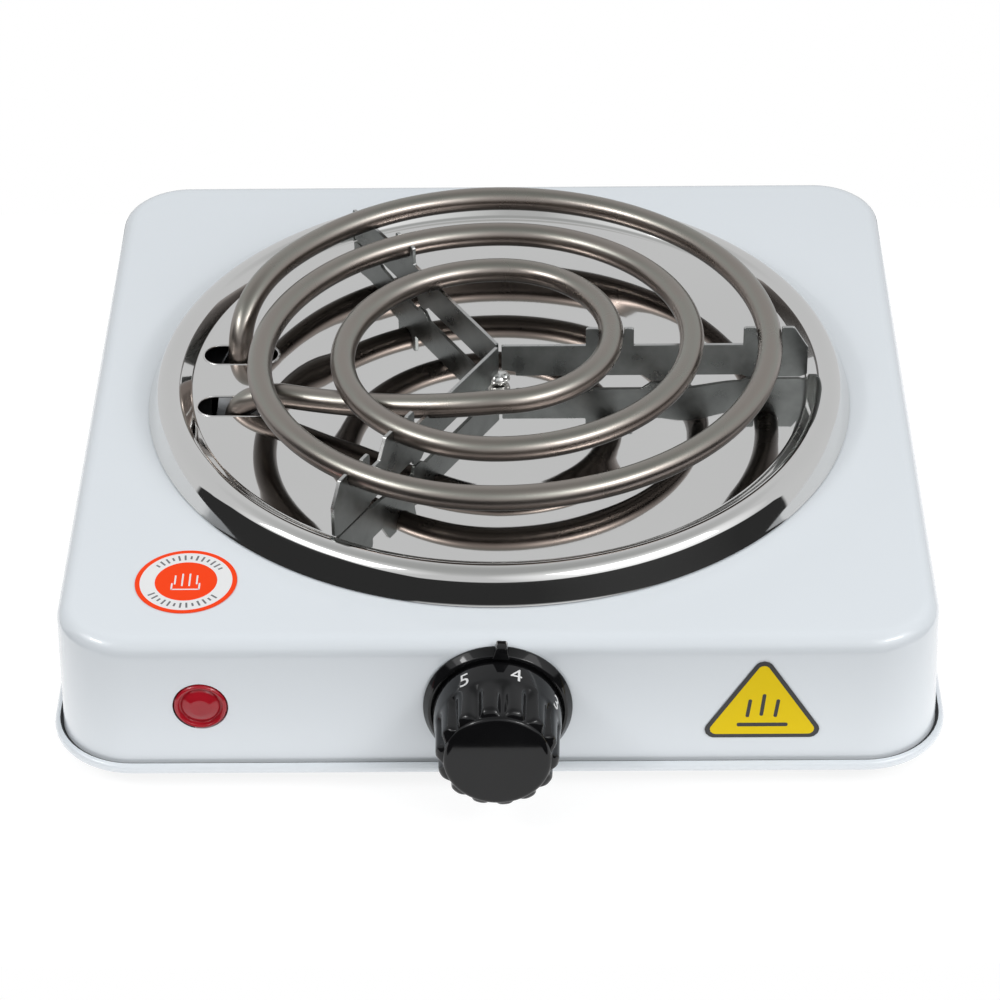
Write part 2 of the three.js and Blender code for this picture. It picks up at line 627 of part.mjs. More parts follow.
// Mounting plate behind the wall, carrying the bush and the leaf stack
const mountPlate = cut(
  join(block(-13, -11, -2.4, 13, 11, -1.2), block(-13, -12.2, -20, 13, -11, -1.2)),
  rod(5.3, -4, 1, 16), ...[-9, 9].map((x) => rod(1.6, -4, 1, 10).translate(x, 0, 0)),
);
add('thermostat_plate', mountPlate, zinc, knobFrame);
const bush = turned([
  [BUSH_BORE, -9], [4.6, -9], [4.6, -3], [5, -3], [5, -0.4], [BUSH_BORE, -0.4], [BUSH_BORE, -9],
], 16);
add('thermostat_bush', bush, brass, knobFrame);
[-9, 9].forEach((x, k) => {
  const screw = turned([[0, -5], [1.3, -5], [1.3, 0.2], [2.6, 0.2], [2.4, 0.9], [0, 1.1]], 10);
  add(`thermostat_screw_${k + 1}`, screw.translate(x, 0, 0), steel, knobFrame);
});

// Ceramic stack with a slot for each leaf
const leafSlots = [-16.2, -11.2].map((z) => block(4, -6, z, 14, 0, z + 1.2));
add('thermostat_stack', cut(block(5.5, -10.6, -19, 12.5, 3, -5), ...leafSlots), ceramic, knobFrame);
add('bimetal_strip', block(-13, -5.6, -15.9, 13.5, -0.4, -15.3), brass, knobFrame);
add('contact_spring', block(-11.4, -5.6, -10.9, 13.5, -3.4, -10.3), brass, knobFrame);

// ------------------------------------------------------------------------------------------------------ pilot lamp

const lampFrame = controlFrame(LAMP_X);
const lens = turned([
  [0, 1.1], [3, 1], [5.2, 0.7], [LENS_RADIUS - 0.1, 0.2], [LENS_RADIUS, -0.3], [LENS_RADIUS, -1.2],
  [7.8, -1.2], [7.8, -2.4], [5.8, -2.6], [5.8, -9], [4.9, -9], [4.9, -3.4], [0, -3.6],
], 28);
add('pilot_lens', lens, redLens, lampFrame);
add('lamp_clip', sleeve(6.1, 8.8, -3.5, -2.9, 20), steel, lampFrame);
add('neon_tube', turned([[0, -12], [1.9, -12], [2.2, -11], [2.2, -6], [1.4, -4.8], [0, -4.3]], 12), glass, lampFrame);
const holderProfile = [[2.6, -9.3], [6.6, -9.3], [6.6, -17], [0, -17], [0, -13], [2.6, -13], [2.6, -9.3]];
add('lamp_holder', turned(holderProfile, 16), blackPlastic, lampFrame);

// ---------------------------------------------------------------------------------------------------------- labels

const roundLabel = rod(ROUND_LABEL.radius, TOP_Z + 0.1, TOP_Z + 0.1 + LABEL_THICKNESS, 40);
add('round_label', roundLabel.translate(ROUND_LABEL.x, ROUND_LABEL.y, 0), orangeLabel);

// Triangle with rounded corners
function triangleShape({ width, height, corner }) {
  const corners = [V2(-width / 2, -height / 2), V2(width / 2, -height / 2), V2(0, height / 2)];
  const inner = corners.map((p) => p.clone().multiplyScalar(1 - (1.9 * corner) / height));
  const loop = [];
  inner.forEach((p, k) => {
    const before = inner[(k + 2) % 3];
    const after = inner[(k + 1) % 3];
    const start = Math.atan2(p.y - before.y, p.x - before.x) - Math.PI / 2;
    let end = Math.atan2(after.y - p.y, after.x - p.x) - Math.PI / 2;
    if (end < start) end += 2 * Math.PI;
    for (let i = 0; i <= 5; i++) {
      const a = start + ((end - start) * i) / 5;
      loop.push(V2(p.x + corner * Math.cos(a), p.y + corner * Math.sin(a)));
    }
  });
  return new THREE.Shape(loop);
}

const triangleFrame = new THREE.Group();
const triangleZ = TOP_Z - TRIANGLE_LABEL.drop;
triangleFrame.position.set(TRIANGLE_LABEL.x, frontWallY(triangleZ), triangleZ);
triangleFrame.rotation.x = Math.PI / 2 - FLARE_ANGLE;
hotPlate.add(triangleFrame);
add('triangle_label', plate(triangleShape(TRIANGLE_LABEL), 0.15, 0.15 + LABEL_THICKNESS), yellowLabel, triangleFrame);

// -------------------------------------------------------------------------------------------- base, feet and screws

function basePlate() {
  const loop = bodyLoop(wallOut(PLATE_TOP) - SHEET - 0.5);
  const sheet = plate(new THREE.Shape(loop), PLATE_BOTTOM, PLATE_TOP);
  const vent = plate(obround(50, 6), 0, 20).rotateZ(Math.PI / 2);
  const vents = [-40, -20, 0, 20, 40].map((x) => vent.clone().translate(x, 0, 0));
  const holes = footPlaces().map(({ x, y }) => rod(2, 0, 20, 10).translate(x, y, 0));
  return cut(sheet, ...vents, ...holes);
}

function footPlaces() {
  const signs = [[-1, -1], [1, -1], [1, 1], [-1, 1]];
  return signs.map(([sx, sy], k) => ({ x: sx * FOOT_X, y: sy * FOOT_Y, sx, name: k + 1 }));
}

add('base_plate', basePlate(), zinc);
for (const { x, y, sx, name } of footPlaces()) {
  const foot = turned([
    [1.9, 1.9], [4, 1.9], [4, 0], [FOOT_RADIUS - 1.2, 0], [FOOT_RADIUS - 0.4, 0.6], [FOOT_RADIUS, PLATE_BOTTOM - GAP],
    [1.9, PLATE_BOTTOM - GAP], [1.9, 1.9],
  ], 16);
  add(`foot_${name}`, foot.translate(x, y, 0), rubber);
  const screw = turned([[0, 0.5], [3, 0.5], [3.3, 1.5], [1.6, 1.6], [1.6, 13], [0, 14]], 8);
  add(`foot_screw_${name}`, screw.translate(x, y, 0), steel);
  // Angle bracket: one leg over the base plate, the other welded to the side wall
  const wallX = TOP_WIDTH / 2 + wallOut(PLATE_TOP + 14) - SHEET - GAP;
  const low = PLATE_TOP + GAP;
  const over = block(-9, -8, low, wallX - FOOT_X, 8, low + 1.2);
  const up = block(wallX - FOOT_X - 1.2, -8, low, wallX - FOOT_X, 8, low + 14);
  const bracket = cut(join(over, up), rod(1.9, 0, 20, 10));
  if (sx < 0) bracket.rotateZ(Math.PI);
  add(`corner_bracket_${name}`, bracket.translate(x, y, 0), zinc);
}

// ---------------------------------------------------------------------------------- gland, terminals, earth and wires

const glandFrame = new THREE.Group();
glandFrame.position.set(GLAND_X, rearWallY(GLAND_Z), GLAND_Z);
glandFrame.rotation.x = -Math.PI / 2;
hotPlate.add(glandFrame);
const gland = turned([
  [3.7, -8], [8, -8], [8, -3.2], [6.2, -2.6], [6.2, 0.5], [8.6, 0.5], [8.6, 2.4], [6.4, 3], [5.4, GLAND_REACH],
  [3.7, GLAND_REACH], [3.7, -8],
], 18);
add('cord_gland', gland, blackPlastic, glandFrame);

const BLOCK = { x: -57, y: 74, z: PLATE_TOP + GAP, length: 34, width: 16, height: 13, ways: [-11, 0, 11] };
function terminalBlock() {
  const body = block(-BLOCK.length / 2, -BLOCK.width / 2, 0, BLOCK.length / 2, BLOCK.width / 2, BLOCK.height);
  const wells = BLOCK.ways.map((x) => rod(2.6, BLOCK.height - 5, BLOCK.height + 1, 12).translate(x, 0, 0));
  return cut(body, ...wells).translate(BLOCK.x, BLOCK.y, BLOCK.z);
}
add('terminal_block', terminalBlock(), ceramic);
BLOCK.ways.forEach((x, k) => {
  const screw = rod(2.2, BLOCK.height - 4.6, BLOCK.height - 1, 10);
  add(`terminal_screw_${k + 1}`, screw.translate(BLOCK.x + x, BLOCK.y, BLOCK.z), brass);
});

const EARTH = { x: -20, y: 88 };
const earthTag = cut(block(-14, -4, 0, 5, 4, 0.8), rod(2.2, -1, 3, 12));
add('earth_tag', earthTag.translate(EARTH.x, EARTH.y, PLATE_TOP + GAP), brass);
const earthScrew = turned([[0, 0.5], [1.8, 0.5], [1.8, 2.6], [3.6, 2.6], [3.3, 4.4], [0, 4.8]], 12);
add('earth_screw', earthScrew.translate(EARTH.x, EARTH.y, PLATE_TOP), steel);

// Insulated wires inside the housing, each from terminal to terminal
const WIRES = {
  wire_live: [
    [-46, 65, 14], [-46, 60, 14], [-34, 30, 12], [-22, -20, 12], [-16, -60, 12], [-15.5, -80, 15], [-15.5, -92, 15],
  ],
  wire_switched: [
    [16, -92, 16], [17, -84, 16], [8, -74, 17], [-24, -52, 18], [-50, -28, 14], [-64, -18, 13], [-69, -13.4, 17],
  ],
  wire_neutral: [[-57, 65, 14], [-57, 60, 14], [-62, 40, 12], [-67, 20, 13], [-69, 11.6, 17]],
  wire_lamp_1: [[-69, -89.4, 24], [-68, -82, 22], [-58, -76, 14], [-36, -76, 12.5], [-24, -84, 13], [-21, -90, 14]],
  wire_lamp_2: [
    [-76, -89.4, 24], [-78, -80, 20], [-82, -56, 13], [-82, 0, 12], [-76, 46, 12.5], [-68.5, 60, 14], [-68, 65, 14],
  ],
};
for (const [name, route] of Object.entries(WIRES)) {
  add(name, tube(route.map((p) => V3(...p)), 1.5, 6, 12), insulation);
}

export default hotPlate;
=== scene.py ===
"""Single-coil electric hot plate: the pieces that show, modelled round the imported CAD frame.

Lengths are in metres, in the frame of the CAD model: +Z up, the knob towards -Y, origin on the table.
"""

import json
import math

import bmesh
import bpy
from mathutils import Matrix, Vector


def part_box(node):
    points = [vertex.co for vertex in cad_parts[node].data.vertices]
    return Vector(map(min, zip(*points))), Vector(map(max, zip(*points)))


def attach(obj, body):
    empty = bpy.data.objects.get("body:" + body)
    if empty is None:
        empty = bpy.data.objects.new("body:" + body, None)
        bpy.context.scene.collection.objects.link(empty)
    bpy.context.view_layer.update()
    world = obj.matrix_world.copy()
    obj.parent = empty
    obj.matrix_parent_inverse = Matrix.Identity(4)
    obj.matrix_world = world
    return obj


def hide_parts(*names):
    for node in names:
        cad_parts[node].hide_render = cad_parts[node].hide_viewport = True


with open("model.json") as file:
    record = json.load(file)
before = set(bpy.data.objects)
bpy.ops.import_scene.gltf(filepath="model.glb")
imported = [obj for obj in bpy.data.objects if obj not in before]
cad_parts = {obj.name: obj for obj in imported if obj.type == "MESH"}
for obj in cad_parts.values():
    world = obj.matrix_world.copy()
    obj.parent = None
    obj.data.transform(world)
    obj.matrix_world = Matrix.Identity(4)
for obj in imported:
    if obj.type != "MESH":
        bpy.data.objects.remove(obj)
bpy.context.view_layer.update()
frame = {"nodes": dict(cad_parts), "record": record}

MM = 0.001

# ---------------------------------------------------------------- places taken from the frame


def centre_of(node):
    low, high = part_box(node)
    return (low + high) / 2


HOUSING_LOW, HOUSING_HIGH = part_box("housing")
PAN_LOW, PAN_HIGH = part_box("drip_pan")
PAN = centre_of("drip_pan")
TOP_Z = HOUSING_HIGH.z
PAN_RADIUS = (PAN_HIGH.x - PAN_LOW.x) / 2
BODY_Y = (HOUSING_LOW.y + HOUSING_HIGH.y) / 2
FLARE = math.radians(2)

# ---------------------------------------------------------------- driving sizes, in millimetres

TOP_WIDTH, TOP_DEPTH = 215.8, 213.5
CORNER_RADIUS = 18
EDGE_RADIUS = 4.2
LIP_HEIGHT = 2.7
SHEET = 0.8
OPENING_RADIUS = 76
HIDDEN_RADIUS = 86      # the top face within this radius lies under the pan
SIDE_STEPS = 24         # spaces between the points along each side of the housing
CONTROL_DROP = 19

PAN_FLOOR_RISE = 4.5
PAN_FLOOR_RADIUS = 79.8
PAN_DISH_DEPTH = 1.1
PAN_DISH = (46, 64)
PAN_CREST_RADIUS = 86.2
PAN_CREST_RISE = 8.5
PAN_SLOPE = 66.6
SLOT_X, SLOT_OFFSET_Y = -68.8, 12
SLOT_LENGTH, SLOT_WIDTH = 20.4, 9.6

TUBE_RADIUS = 3.2
COIL_RISE = 18.5
TURNS = ((-31.1, 29.6, 31.2, -40.3), (-51.7, 50.6, 49.4, -61.7), (-72.4, 70.9, 68, None))
LAST_ARC_RADIUS, LAST_ARC_SWEEP = 67.4, 42
LEG_X, LEG_BOTTOM = -69, 31
LEG_SHIFT_Y = -0.4

ARM_LENGTH = 81.2
ARM_TOP = 10.5
ARM_CLEARANCE = 1.1
ARM_START = 0.8
EAR_HEIGHT = 5.3

BEZEL_RADIUS = 18.2
NUB_TURN = math.radians(3.4)
KNOB_BACK, KNOB_FRONT = 3.2, 22.2
KNOB_LOBES = 14
KNOB_VALLEY = math.radians(5.7)
LAMP_X = -72.4
LENS_RADIUS = 6.5
TRIANGLE_X, TRIANGLE_DROP = 64.4, 16.6
TRIANGLE_WIDTH, TRIANGLE_HEIGHT, TRIANGLE_CORNER = 31.9, 25.2, 2.4

# ---------------------------------------------------------------- materials


def shader_material(name, color, roughness, metallic=0.0, **inputs):
    """Principled material with uniform values on its own sockets, as (material, nodes, links, shader)."""
    material = bpy.data.materials.new(name)
    material.use_nodes = True
    nodes, links = material.node_tree.nodes, material.node_tree.links
    shader = nodes["Principled BSDF"]
    shader.inputs["Base Color"].default_value = (*color, 1)
    shader.inputs["Roughness"].default_value = roughness
    shader.inputs["Metallic"].default_value = metallic
    for key, value in inputs.items():
        shader.inputs[key.replace("_", " ")].default_value = value
    return material, nodes, links, shader


def object_coordinates(nodes, links, scale=(1, 1, 1), rotation=(0, 0, 0)):
    """Object coordinates through a Mapping node."""
    coordinates = nodes.new("ShaderNodeTexCoord")
    mapping = nodes.new("ShaderNodeMapping")
    mapping.inputs["Scale"].default_value = scale
    mapping.inputs["Rotation"].default_value = rotation
    links.new(coordinates.outputs["Object"], mapping.inputs["Vector"])
    return mapping.outputs["Vector"]


def noise(nodes, links, vector, scale, detail=3.0, roughness=0.55):
    texture = nodes.new("ShaderNodeTexNoise")
    texture.inputs["Scale"].default_value = scale
    texture.inputs["Detail"].default_value = detail
    texture.inputs["Roughness"].default_value = roughness
    links.new(vector, texture.inputs["Vector"])
    return texture.outputs["Fac"]


def spread(nodes, links, value, low, high, out_low, out_high):
    """Maps a value from one range to another."""
    node = nodes.new("ShaderNodeMapRange")
    node.inputs["From Min"].default_value = low
    node.inputs["From Max"].default_value = high
    node.inputs["To Min"].default_value = out_low
    node.inputs["To Max"].default_value = out_high
    links.new(value, node.inputs["Value"])
    return node.outputs["Result"]


def maths(nodes, links, operation, a, b):
    """Result of a sum, product or maximum of two values or sockets."""
    node = nodes.new("ShaderNodeMath")
    node.operation = operation
    for socket, value in zip(node.inputs, (a, b)):
        if isinstance(value, (int, float)):
            socket.default_value = value
        else:
            links.new(value, socket)
    return node.outputs[0]


def ramp(nodes, links, value, stops):
    """Colour ramp with (position, colour) stops."""
    node = nodes.new("ShaderNodeValToRGB")
    elements = node.color_ramp.elements
    while len(elements) < len(stops):
        elements.new(0.5)
    for element, (position, color) in zip(elements, stops):
        element.position = position
        element.color = (*color, 1)
    links.new(value, node.inputs["Fac"])
    return node.outputs["Color"]


def bump(nodes, links, shader, height, strength, distance):
    node = nodes.new("ShaderNodeBump")
    node.inputs["Strength"].default_value = strength
    node.inputs["Distance"].default_value = distance
    links.new(height, node.inputs["Height"])
    links.new(node.outputs["Normal"], shader.inputs["Normal"])


def around(color, change):
    """Two colours a little darker and a little lighter than the given one."""
    return [tuple(max(0, c * (1 - change)) for c in color), tuple(min(1, c * (1 + change)) for c in color)]


def mottled(name, color, roughness, metallic=0.0, change=0.04, scale=60, rough_change=0.05, grain=0.0,
            stretch=(1, 1, 1), **inputs):
    """A finish whose colour and gloss vary gently over the surface."""
    material, nodes, links, shader = shader_material(name, color, roughness, metallic, **inputs)
    vector = object_coordinates(nodes, links, stretch)
    cloud = noise(nodes, links, vector, scale)
    dark, light = around(color, change)
    links.new(ramp(nodes, links, cloud, [(0.3, dark), (0.7, light)]), shader.inputs["Base Color"])
    low, high = max(0.0, roughness - rough_change), roughness + rough_change
    links.new(spread(nodes, links, cloud, 0.3, 0.7, low, high), shader.inputs["Roughness"])
    if grain:
        fine = noise(nodes, links, vector, scale * 14, 2.0)
        bump(nodes, links, shader, fine, grain, 0.0002)
    return material


def enamel_material():
    return mottled("enamel", (0.775, 0.815, 0.852), 0.2, change=0.008, scale=14, rough_change=0.03,
                   grain=0.012, Coat_Weight=0.5, Coat_Roughness=0.06)


def chrome_material():
    return mottled("pan_chrome", (0.80, 0.79, 0.775), 0.035, 1.0, change=0.015, scale=18, rough_change=0.015)


def sheath_material():
    """Steel sheath of the coil, coloured by which way it faces as painted shade: greenish grey on top, browner
    at the sides, painted dark underneath.
    """
    material, nodes, links, shader = shader_material("sheath", (0.36, 0.33, 0.3), 0.24, 1.0)
    coordinates = nodes.new("ShaderNodeTexCoord")
    parts = nodes.new("ShaderNodeSeparateXYZ")
    links.new(coordinates.outputs["Normal"], parts.inputs["Vector"])
    cloud = noise(nodes, links, object_coordinates(nodes, links), 26, 4.0, 0.6)
    drift = maths(nodes, links, "MULTIPLY", maths(nodes, links, "ADD", cloud, -0.5), 0.9)
    # painted shade: the colour follows the surface's facing, lighter on top and near-black underneath
    painted_shade_by_facing = maths(nodes, links, "ADD", parts.outputs["Z"], drift)
    stops = [(0.05, (0.062, 0.052, 0.046)), (0.35, (0.11, 0.092, 0.082)), (0.55, (0.29, 0.24, 0.213)),
             (0.76, (0.35, 0.31, 0.28)), (0.9, (0.335, 0.33, 0.295)), (1, (0.35, 0.315, 0.285))]
    color = ramp(nodes, links, spread(nodes, links, painted_shade_by_facing, -1, 1, 0, 1), stops)
    links.new(color, shader.inputs["Base Color"])
    links.new(spread(nodes, links, cloud, 0.3, 0.7, 0.23, 0.35), shader.inputs["Roughness"])
    return material


MATERIALS = {
    "enamel": enamel_material(),
    "pan_chrome": chrome_material(),
    "sheath": sheath_material(),
    "galvanised": mottled("galvanised", (0.2, 0.21, 0.206), 0.32, 1.0, 0.22, 120, 0.08, 0.04),
    # near-black ground coat, also used as painted shade under the pan
    "ground_coat_and_shade": mottled("ground_coat_and_shade", (0.012, 0.012, 0.013), 0.5, change=0.1, scale=80),
    "bright_weld": mottled("bright_weld", (0.86, 0.86, 0.84), 0.24, 1.0, 0.05, 300, 0.06),
    # bare cut steel, used on upward-facing edges as a painted highlight
    "cut_steel_and_highlight": mottled("cut_steel_and_highlight", (0.55, 0.55, 0.54), 0.3, 1.0, 0.08, 300, 0.05),
    "steel": mottled("steel", (0.55, 0.56, 0.57), 0.3, 1.0, 0.06, 200, 0.06, 0.04),
    "brass": mottled("brass", (0.66, 0.50, 0.20), 0.3, 1.0, 0.06, 200, 0.06),
    "black_plastic": mottled("black_plastic", (0.006, 0.006, 0.0065), 0.06, change=0.2, scale=90,
                             rough_change=0.02, Specular_IOR_Level=0.36),
    "red_lens": mottled("red_lens", (0.50, 0.012, 0.025), 0.1, change=0.12, scale=120, rough_change=0.02,
                        Transmission_Weight=0.25, IOR=1.5),
    "ceramic": mottled("ceramic", (0.80, 0.76, 0.68), 0.5, change=0.04, scale=120),
    "rubber": mottled("rubber", (0.018, 0.018, 0.018), 0.7, change=0.2, scale=200, grain=0.15),
    "wire_sleeve": mottled("wire_sleeve", (0.70, 0.64, 0.54), 0.6, change=0.06, scale=400, grain=0.15),
    "neon_glass": mottled("neon_glass", (1.0, 0.85, 0.75), 0.05, change=0.03, scale=100, rough_change=0.02,
                          Transmission_Weight=0.9),
    "orange_label": mottled("orange_label", (1.0, 0.055, 0.001), 0.5, change=0.015, scale=60,
                            Specular_IOR_Level=0.2),
    "yellow_label": mottled("yellow_label", (0.86, 0.62, 0.002), 0.5, change=0.015, scale=60,
                            Specular_IOR_Level=0.2),
    "label_black": mottled("label_black", (0.03, 0.03, 0.032), 0.35, change=0.05, scale=60),
    "label_grey": mottled("label_grey", (0.16, 0.16, 0.17), 0.4, change=0.05, scale=60),
    "label_white": mottled("label_white", (0.85, 0.85, 0.85), 0.35, change=0.01, scale=60),
    "print_white": mottled("print_white", (0.78, 0.78, 0.78), 0.4, change=0.03, scale=300),
}

# ---------------------------------------------------------------- mesh building


def mesh_object(name, verts, faces, sharp_angle=35):
    """A smooth-shaded mesh object whose edges are sharp where they bend by more than the angle."""
    mesh = bpy.data.meshes.new(name)
    mesh.from_pydata([tuple(v) for v in verts], [], faces)
    piece = bpy.data.objects.new(name, mesh)
    bpy.context.scene.collection.objects.link(piece)
    clean(piece, sharp_angle)
    return piece


def clean(piece, sharp_angle=35):
    """Welds, turns faces outwards, and marks the sharp edges."""
    work = bmesh.new()
    work.from_mesh(piece.data)
    bmesh.ops.remove_doubles(work, verts=work.verts, dist=1e-7)
    bmesh.ops.dissolve_degenerate(work, edges=work.edges, dist=1e-8)
    bmesh.ops.recalc_face_normals(work, faces=work.faces)
    limit = math.radians(sharp_angle)
    for face in work.faces:
        face.smooth = True
    for edge in work.edges:
        edge.smooth = len(edge.link_faces) != 2 or edge.calc_face_angle(0) < limit
    work.to_mesh(piece.data)
    work.free()


def apply_modifiers(piece):
    graph = bpy.context.evaluated_depsgraph_get()
    mesh = bpy.data.meshes.new_from_object(piece.evaluated_get(graph))
    piece.modifiers.clear()
    piece.data = mesh


def cut(piece, cutters, sharp_angle=35):
    """Takes the cutters' shapes out of the piece and removes the cutters."""
    for cutter in cutters:
        modifier = piece.modifiers.new("cut", "BOOLEAN")
        modifier.object = cutter
        modifier.solver = "EXACT"
    apply_modifiers(piece)
    for cutter in cutters:
        bpy.data.objects.remove(cutter)
    clean(piece, sharp_angle)


def unite(piece, other, sharp_angle=35):
    """Joins the other shape to the piece and removes it."""
    modifier = piece.modifiers.new("join", "BOOLEAN")
    modifier.operation, modifier.object, modifier.solver = "UNION", other, "EXACT"
    apply_modifiers(piece)
    bpy.data.objects.remove(other)
    clean(piece, sharp_angle)


def bevelled(piece, width, segments=2, angle=40, sharp_angle=50):
    modifier = piece.modifiers.new("bevel", "BEVEL")
    modifier.width = width
    modifier.segments = segments
    modifier.limit_method = "ANGLE"
    modifier.angle_limit = math.radians(angle)
    modifier.harden_normals = False
    apply_modifiers(piece)
    clean(piece, sharp_angle)


def dress(piece, material, body, slot, *nodes):
    """Gives the piece its finish and its body, and hides the CAD nodes that it stands for."""
    piece.data.materials.clear()
    piece.data.materials.append(MATERIALS[material])
    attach(piece, body)
    if nodes:
        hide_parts(*nodes)
    return piece


def rounded(points, steps=5):
    """Outline in which each corner given as (a, b, radius) is rounded with an arc."""
    result = []
    count = len(points)
    for i, point in enumerate(points):
        corner = Vector(point[:2])
        radius = point[2] if len(point) > 2 else 0
        if not radius:
            result.append(tuple(corner))
            continue
        before = (Vector(points[i - 1][:2]) - corner).normalized()
        after = (Vector(points[(i + 1) % count][:2]) - corner).normalized()
        half = before.angle(after) / 2
        centre = corner + (before + after).normalized() * (radius / math.sin(half))
        start, end = before * (radius / math.tan(half)), after * (radius / math.tan(half))
        for k in range(steps + 1):
            a = (corner + start - centre).lerp(corner + end - centre, k / steps)
            result.append(tuple(centre + a.normalized() * radius))
    return result


def lathe(name, profile, segments=96, sharp_angle=35):
    """Turned piece about Z from (radius, z) points in millimetres; a radius of 0 closes on the axis."""
    verts, rings = [], []
    for radius, z in profile:
        if abs(radius) < 1e-6:
            rings.append([len(verts)] * segments)
            verts.append((0, 0, z * MM))
            continue
        start = len(verts)
        rings.append(list(range(start, start + segments)))
        for k in range(segments):
            a = 2 * math.pi * k / segments
            verts.append((radius * math.cos(a) * MM, radius * math.sin(a) * MM, z * MM))
    closed = profile[0] != profile[-1] and abs(profile[0][0]) > 1e-6
    pairs = list(zip(rings, rings[1:])) + ([(rings[-1], rings[0])] if closed else [])
    faces = []
    for a, b in pairs:
        for k in range(segments):
            m = (k + 1) % segments
            face = list(dict.fromkeys([a[k], a[m], b[m], b[k]]))
            if len(face) > 2:
                faces.append(face)
    return mesh_object(name, verts, faces, sharp_angle)


def loft(name, loops, closed=False, sharp_angle=35):
    """Skin through loops of points in millimetres, capped at its ends or closed from the last to the first."""
    count = len(loops[0])
    verts = [(x * MM, y * MM, z * MM) for loop in loops for x, y, z in loop]
    faces = []
    last = len(loops) if closed else len(loops) - 1
    for k in range(last):
        a, b = k * count, ((k + 1) % len(loops)) * count
        for i in range(count):
            j = (i + 1) % count
            faces.append([a + i, a + j, b + j, b + i])
    if not closed:
        faces.append(list(range(count))[::-1])
        faces.append(list(range((len(loops) - 1) * count, len(loops) * count)))
    return mesh_object(name, verts, faces, sharp_angle)


def prism(name, outline, low, high, sharp_angle=35):
    """Straight extrusion along Z of an outline in millimetres."""
    return loft(name, [[(x, y, z) for x, y in outline] for z in (low, high)], sharp_angle=sharp_angle)


def tube(name, points, radius, sides=24):
    """Round tube with flat ends along points in metres."""
    tangents = []
    for i, p in enumerate(points):
        ahead = points[min(i + 1, len(points) - 1)] - points[max(i - 1, 0)]
        tangents.append(ahead.normalized())
    side = tangents[0].orthogonal().normalized()
    verts = []
    for i, (p, t) in enumerate(zip(points, tangents)):
        if i:
            side = (side - t * side.dot(t)).normalized()
        up = t.cross(side)
        for k in range(sides):
            a = 2 * math.pi * k / sides
            verts.append(p + (side * math.cos(a) + up * math.sin(a)) * radius)
    faces = [list(range(sides))[::-1], list(range(len(verts) - sides, len(verts)))]
    for i in range(len(points) - 1):
        a, b = i * sides, (i + 1) * sides
        faces += [[a + k, a + (k + 1) % sides, b + (k + 1) % sides, b + k] for k in range(sides)]
    return mesh_object(name, verts, faces)


def circle(radius, count=96, centre=(0, 0)):
    turns = [2 * math.pi * k / count for k in range(count)]
    return [(centre[0] + radius * math.cos(a), centre[1] + radius * math.sin(a)) for a in turns]


def obround(length, width, centre=(0, 0), steps=16):
    r, s = width / 2, (length - width) / 2
    points = []
    for side, start in ((1, -90), (-1, 90)):
        for k in range(steps + 1):
            a = math.radians(start + 180 * k / steps)
            points.append((centre[0] + side * s + r * math.cos(a), centre[1] + r * math.sin(a)))
    return points


def place(piece, matrix):
    piece.data.transform(matrix)
    return piece


def on_pan(piece):
    return place(piece, Matrix.Translation((PAN.x, PAN.y, TOP_Z)))


def on_wall(x, drop):
    """Matrix of a place on the front wall: X right, Y up the wall, Z straight out of it."""
    y = BODY_Y - (TOP_DEPTH / 2 + (drop - EDGE_RADIUS) * math.tan(FLARE)) * MM
    place_at = Matrix.Translation((x * MM, y, TOP_Z - drop * MM))
    return place_at @ Matrix.Rotation(math.pi / 2 - FLARE, 4, "X")


# ---------------------------------------------------------------- housing


def body_loop(offset, z, corner_steps=14):
    """Rounded rectangle round the housing, with points close to each corner's ends so that flats shade flat.

    The sides have points all along them too, so that a circle drawn with one point for each is a true circle.
    """
    half_x, half_y = TOP_WIDTH / 2 - CORNER_RADIUS, TOP_DEPTH / 2 - CORNER_RADIUS
    radius = CORNER_RADIUS + offset
    corners = []
    for sx, sy, start in ((1, 1, 0), (-1, 1, 90), (-1, -1, 180), (1, -1, 270)):
        turn = [math.radians(start + 90 * k / corner_steps) for k in range(corner_steps + 1)]
        corner = [(sx * half_x + radius * math.cos(a), sy * half_y + radius * math.sin(a)) for a in turn]
        first, last = Vector(corner[0]), Vector(corner[-1])
        before = Vector((math.sin(turn[0]), -math.cos(turn[0]))) * 1.5
        after = Vector((-math.sin(turn[-1]), math.cos(turn[-1]))) * 1.5
        corners.append([first + before, *(Vector(point) for point in corner), last + after])
    loop = []
    for corner, following in zip(corners, corners[1:] + corners[:1]):
        loop += corner
        loop += [corner[-1].lerp(following[0], k / SIDE_STEPS) for k in range(1, SIDE_STEPS)]
    return [(x, y, z) for x, y in loop]


def housing_profile():
    """(offset from the top of the wall, drop below the top face) over the rounded edge down to the lip."""
    slope = math.tan(FLARE)
    height = (HOUSING_HIGH.z - HOUSING_LOW.z) / MM
    wall = lambda drop: (drop - EDGE_RADIUS) * slope
    points = []
    for k in range(9):
        a = math.pi / 2 * k / 8
        points.append((-EDGE_RADIUS * (1 - math.sin(a)), EDGE_RADIUS * (1 - math.cos(a))))
    points.insert(0, (-EDGE_RADIUS - 1.2, 0))
    groove = height - LIP_HEIGHT
    points += [(wall(EDGE_RADIUS + 1.2), EDGE_RADIUS + 1.2), (wall(groove - 1.6), groove - 1.6)]
    lip = wall(groove) + 2.2
    root = wall(groove)
    points += [(root, groove + 0.3), (root + 0.1, groove + 0.85), (root + 0.3, groove + 0.6)]
    points += [(root + 0.5, groove + 0.25), (root + 0.9, groove + 0.04), (root + 1.4, groove + 0.1)]
    points += [(lip - 0.3, groove + 0.45), (lip, groove + 1.2)]
    points += [(lip - 0.05, height - 0.8), (lip - 0.35, height - 0.25), (lip - 0.9, height)]
    return points


def opening_loop(radius, z, like):
    """Circle of the top opening with one point for each point of the body loop."""
    loop = []
    for x, y, _ in like:
        direction = Vector((x, y)).normalized() * radius
        loop.append((direction.x, direction.y + (PAN.y - BODY_Y) / MM, z))
    return loop


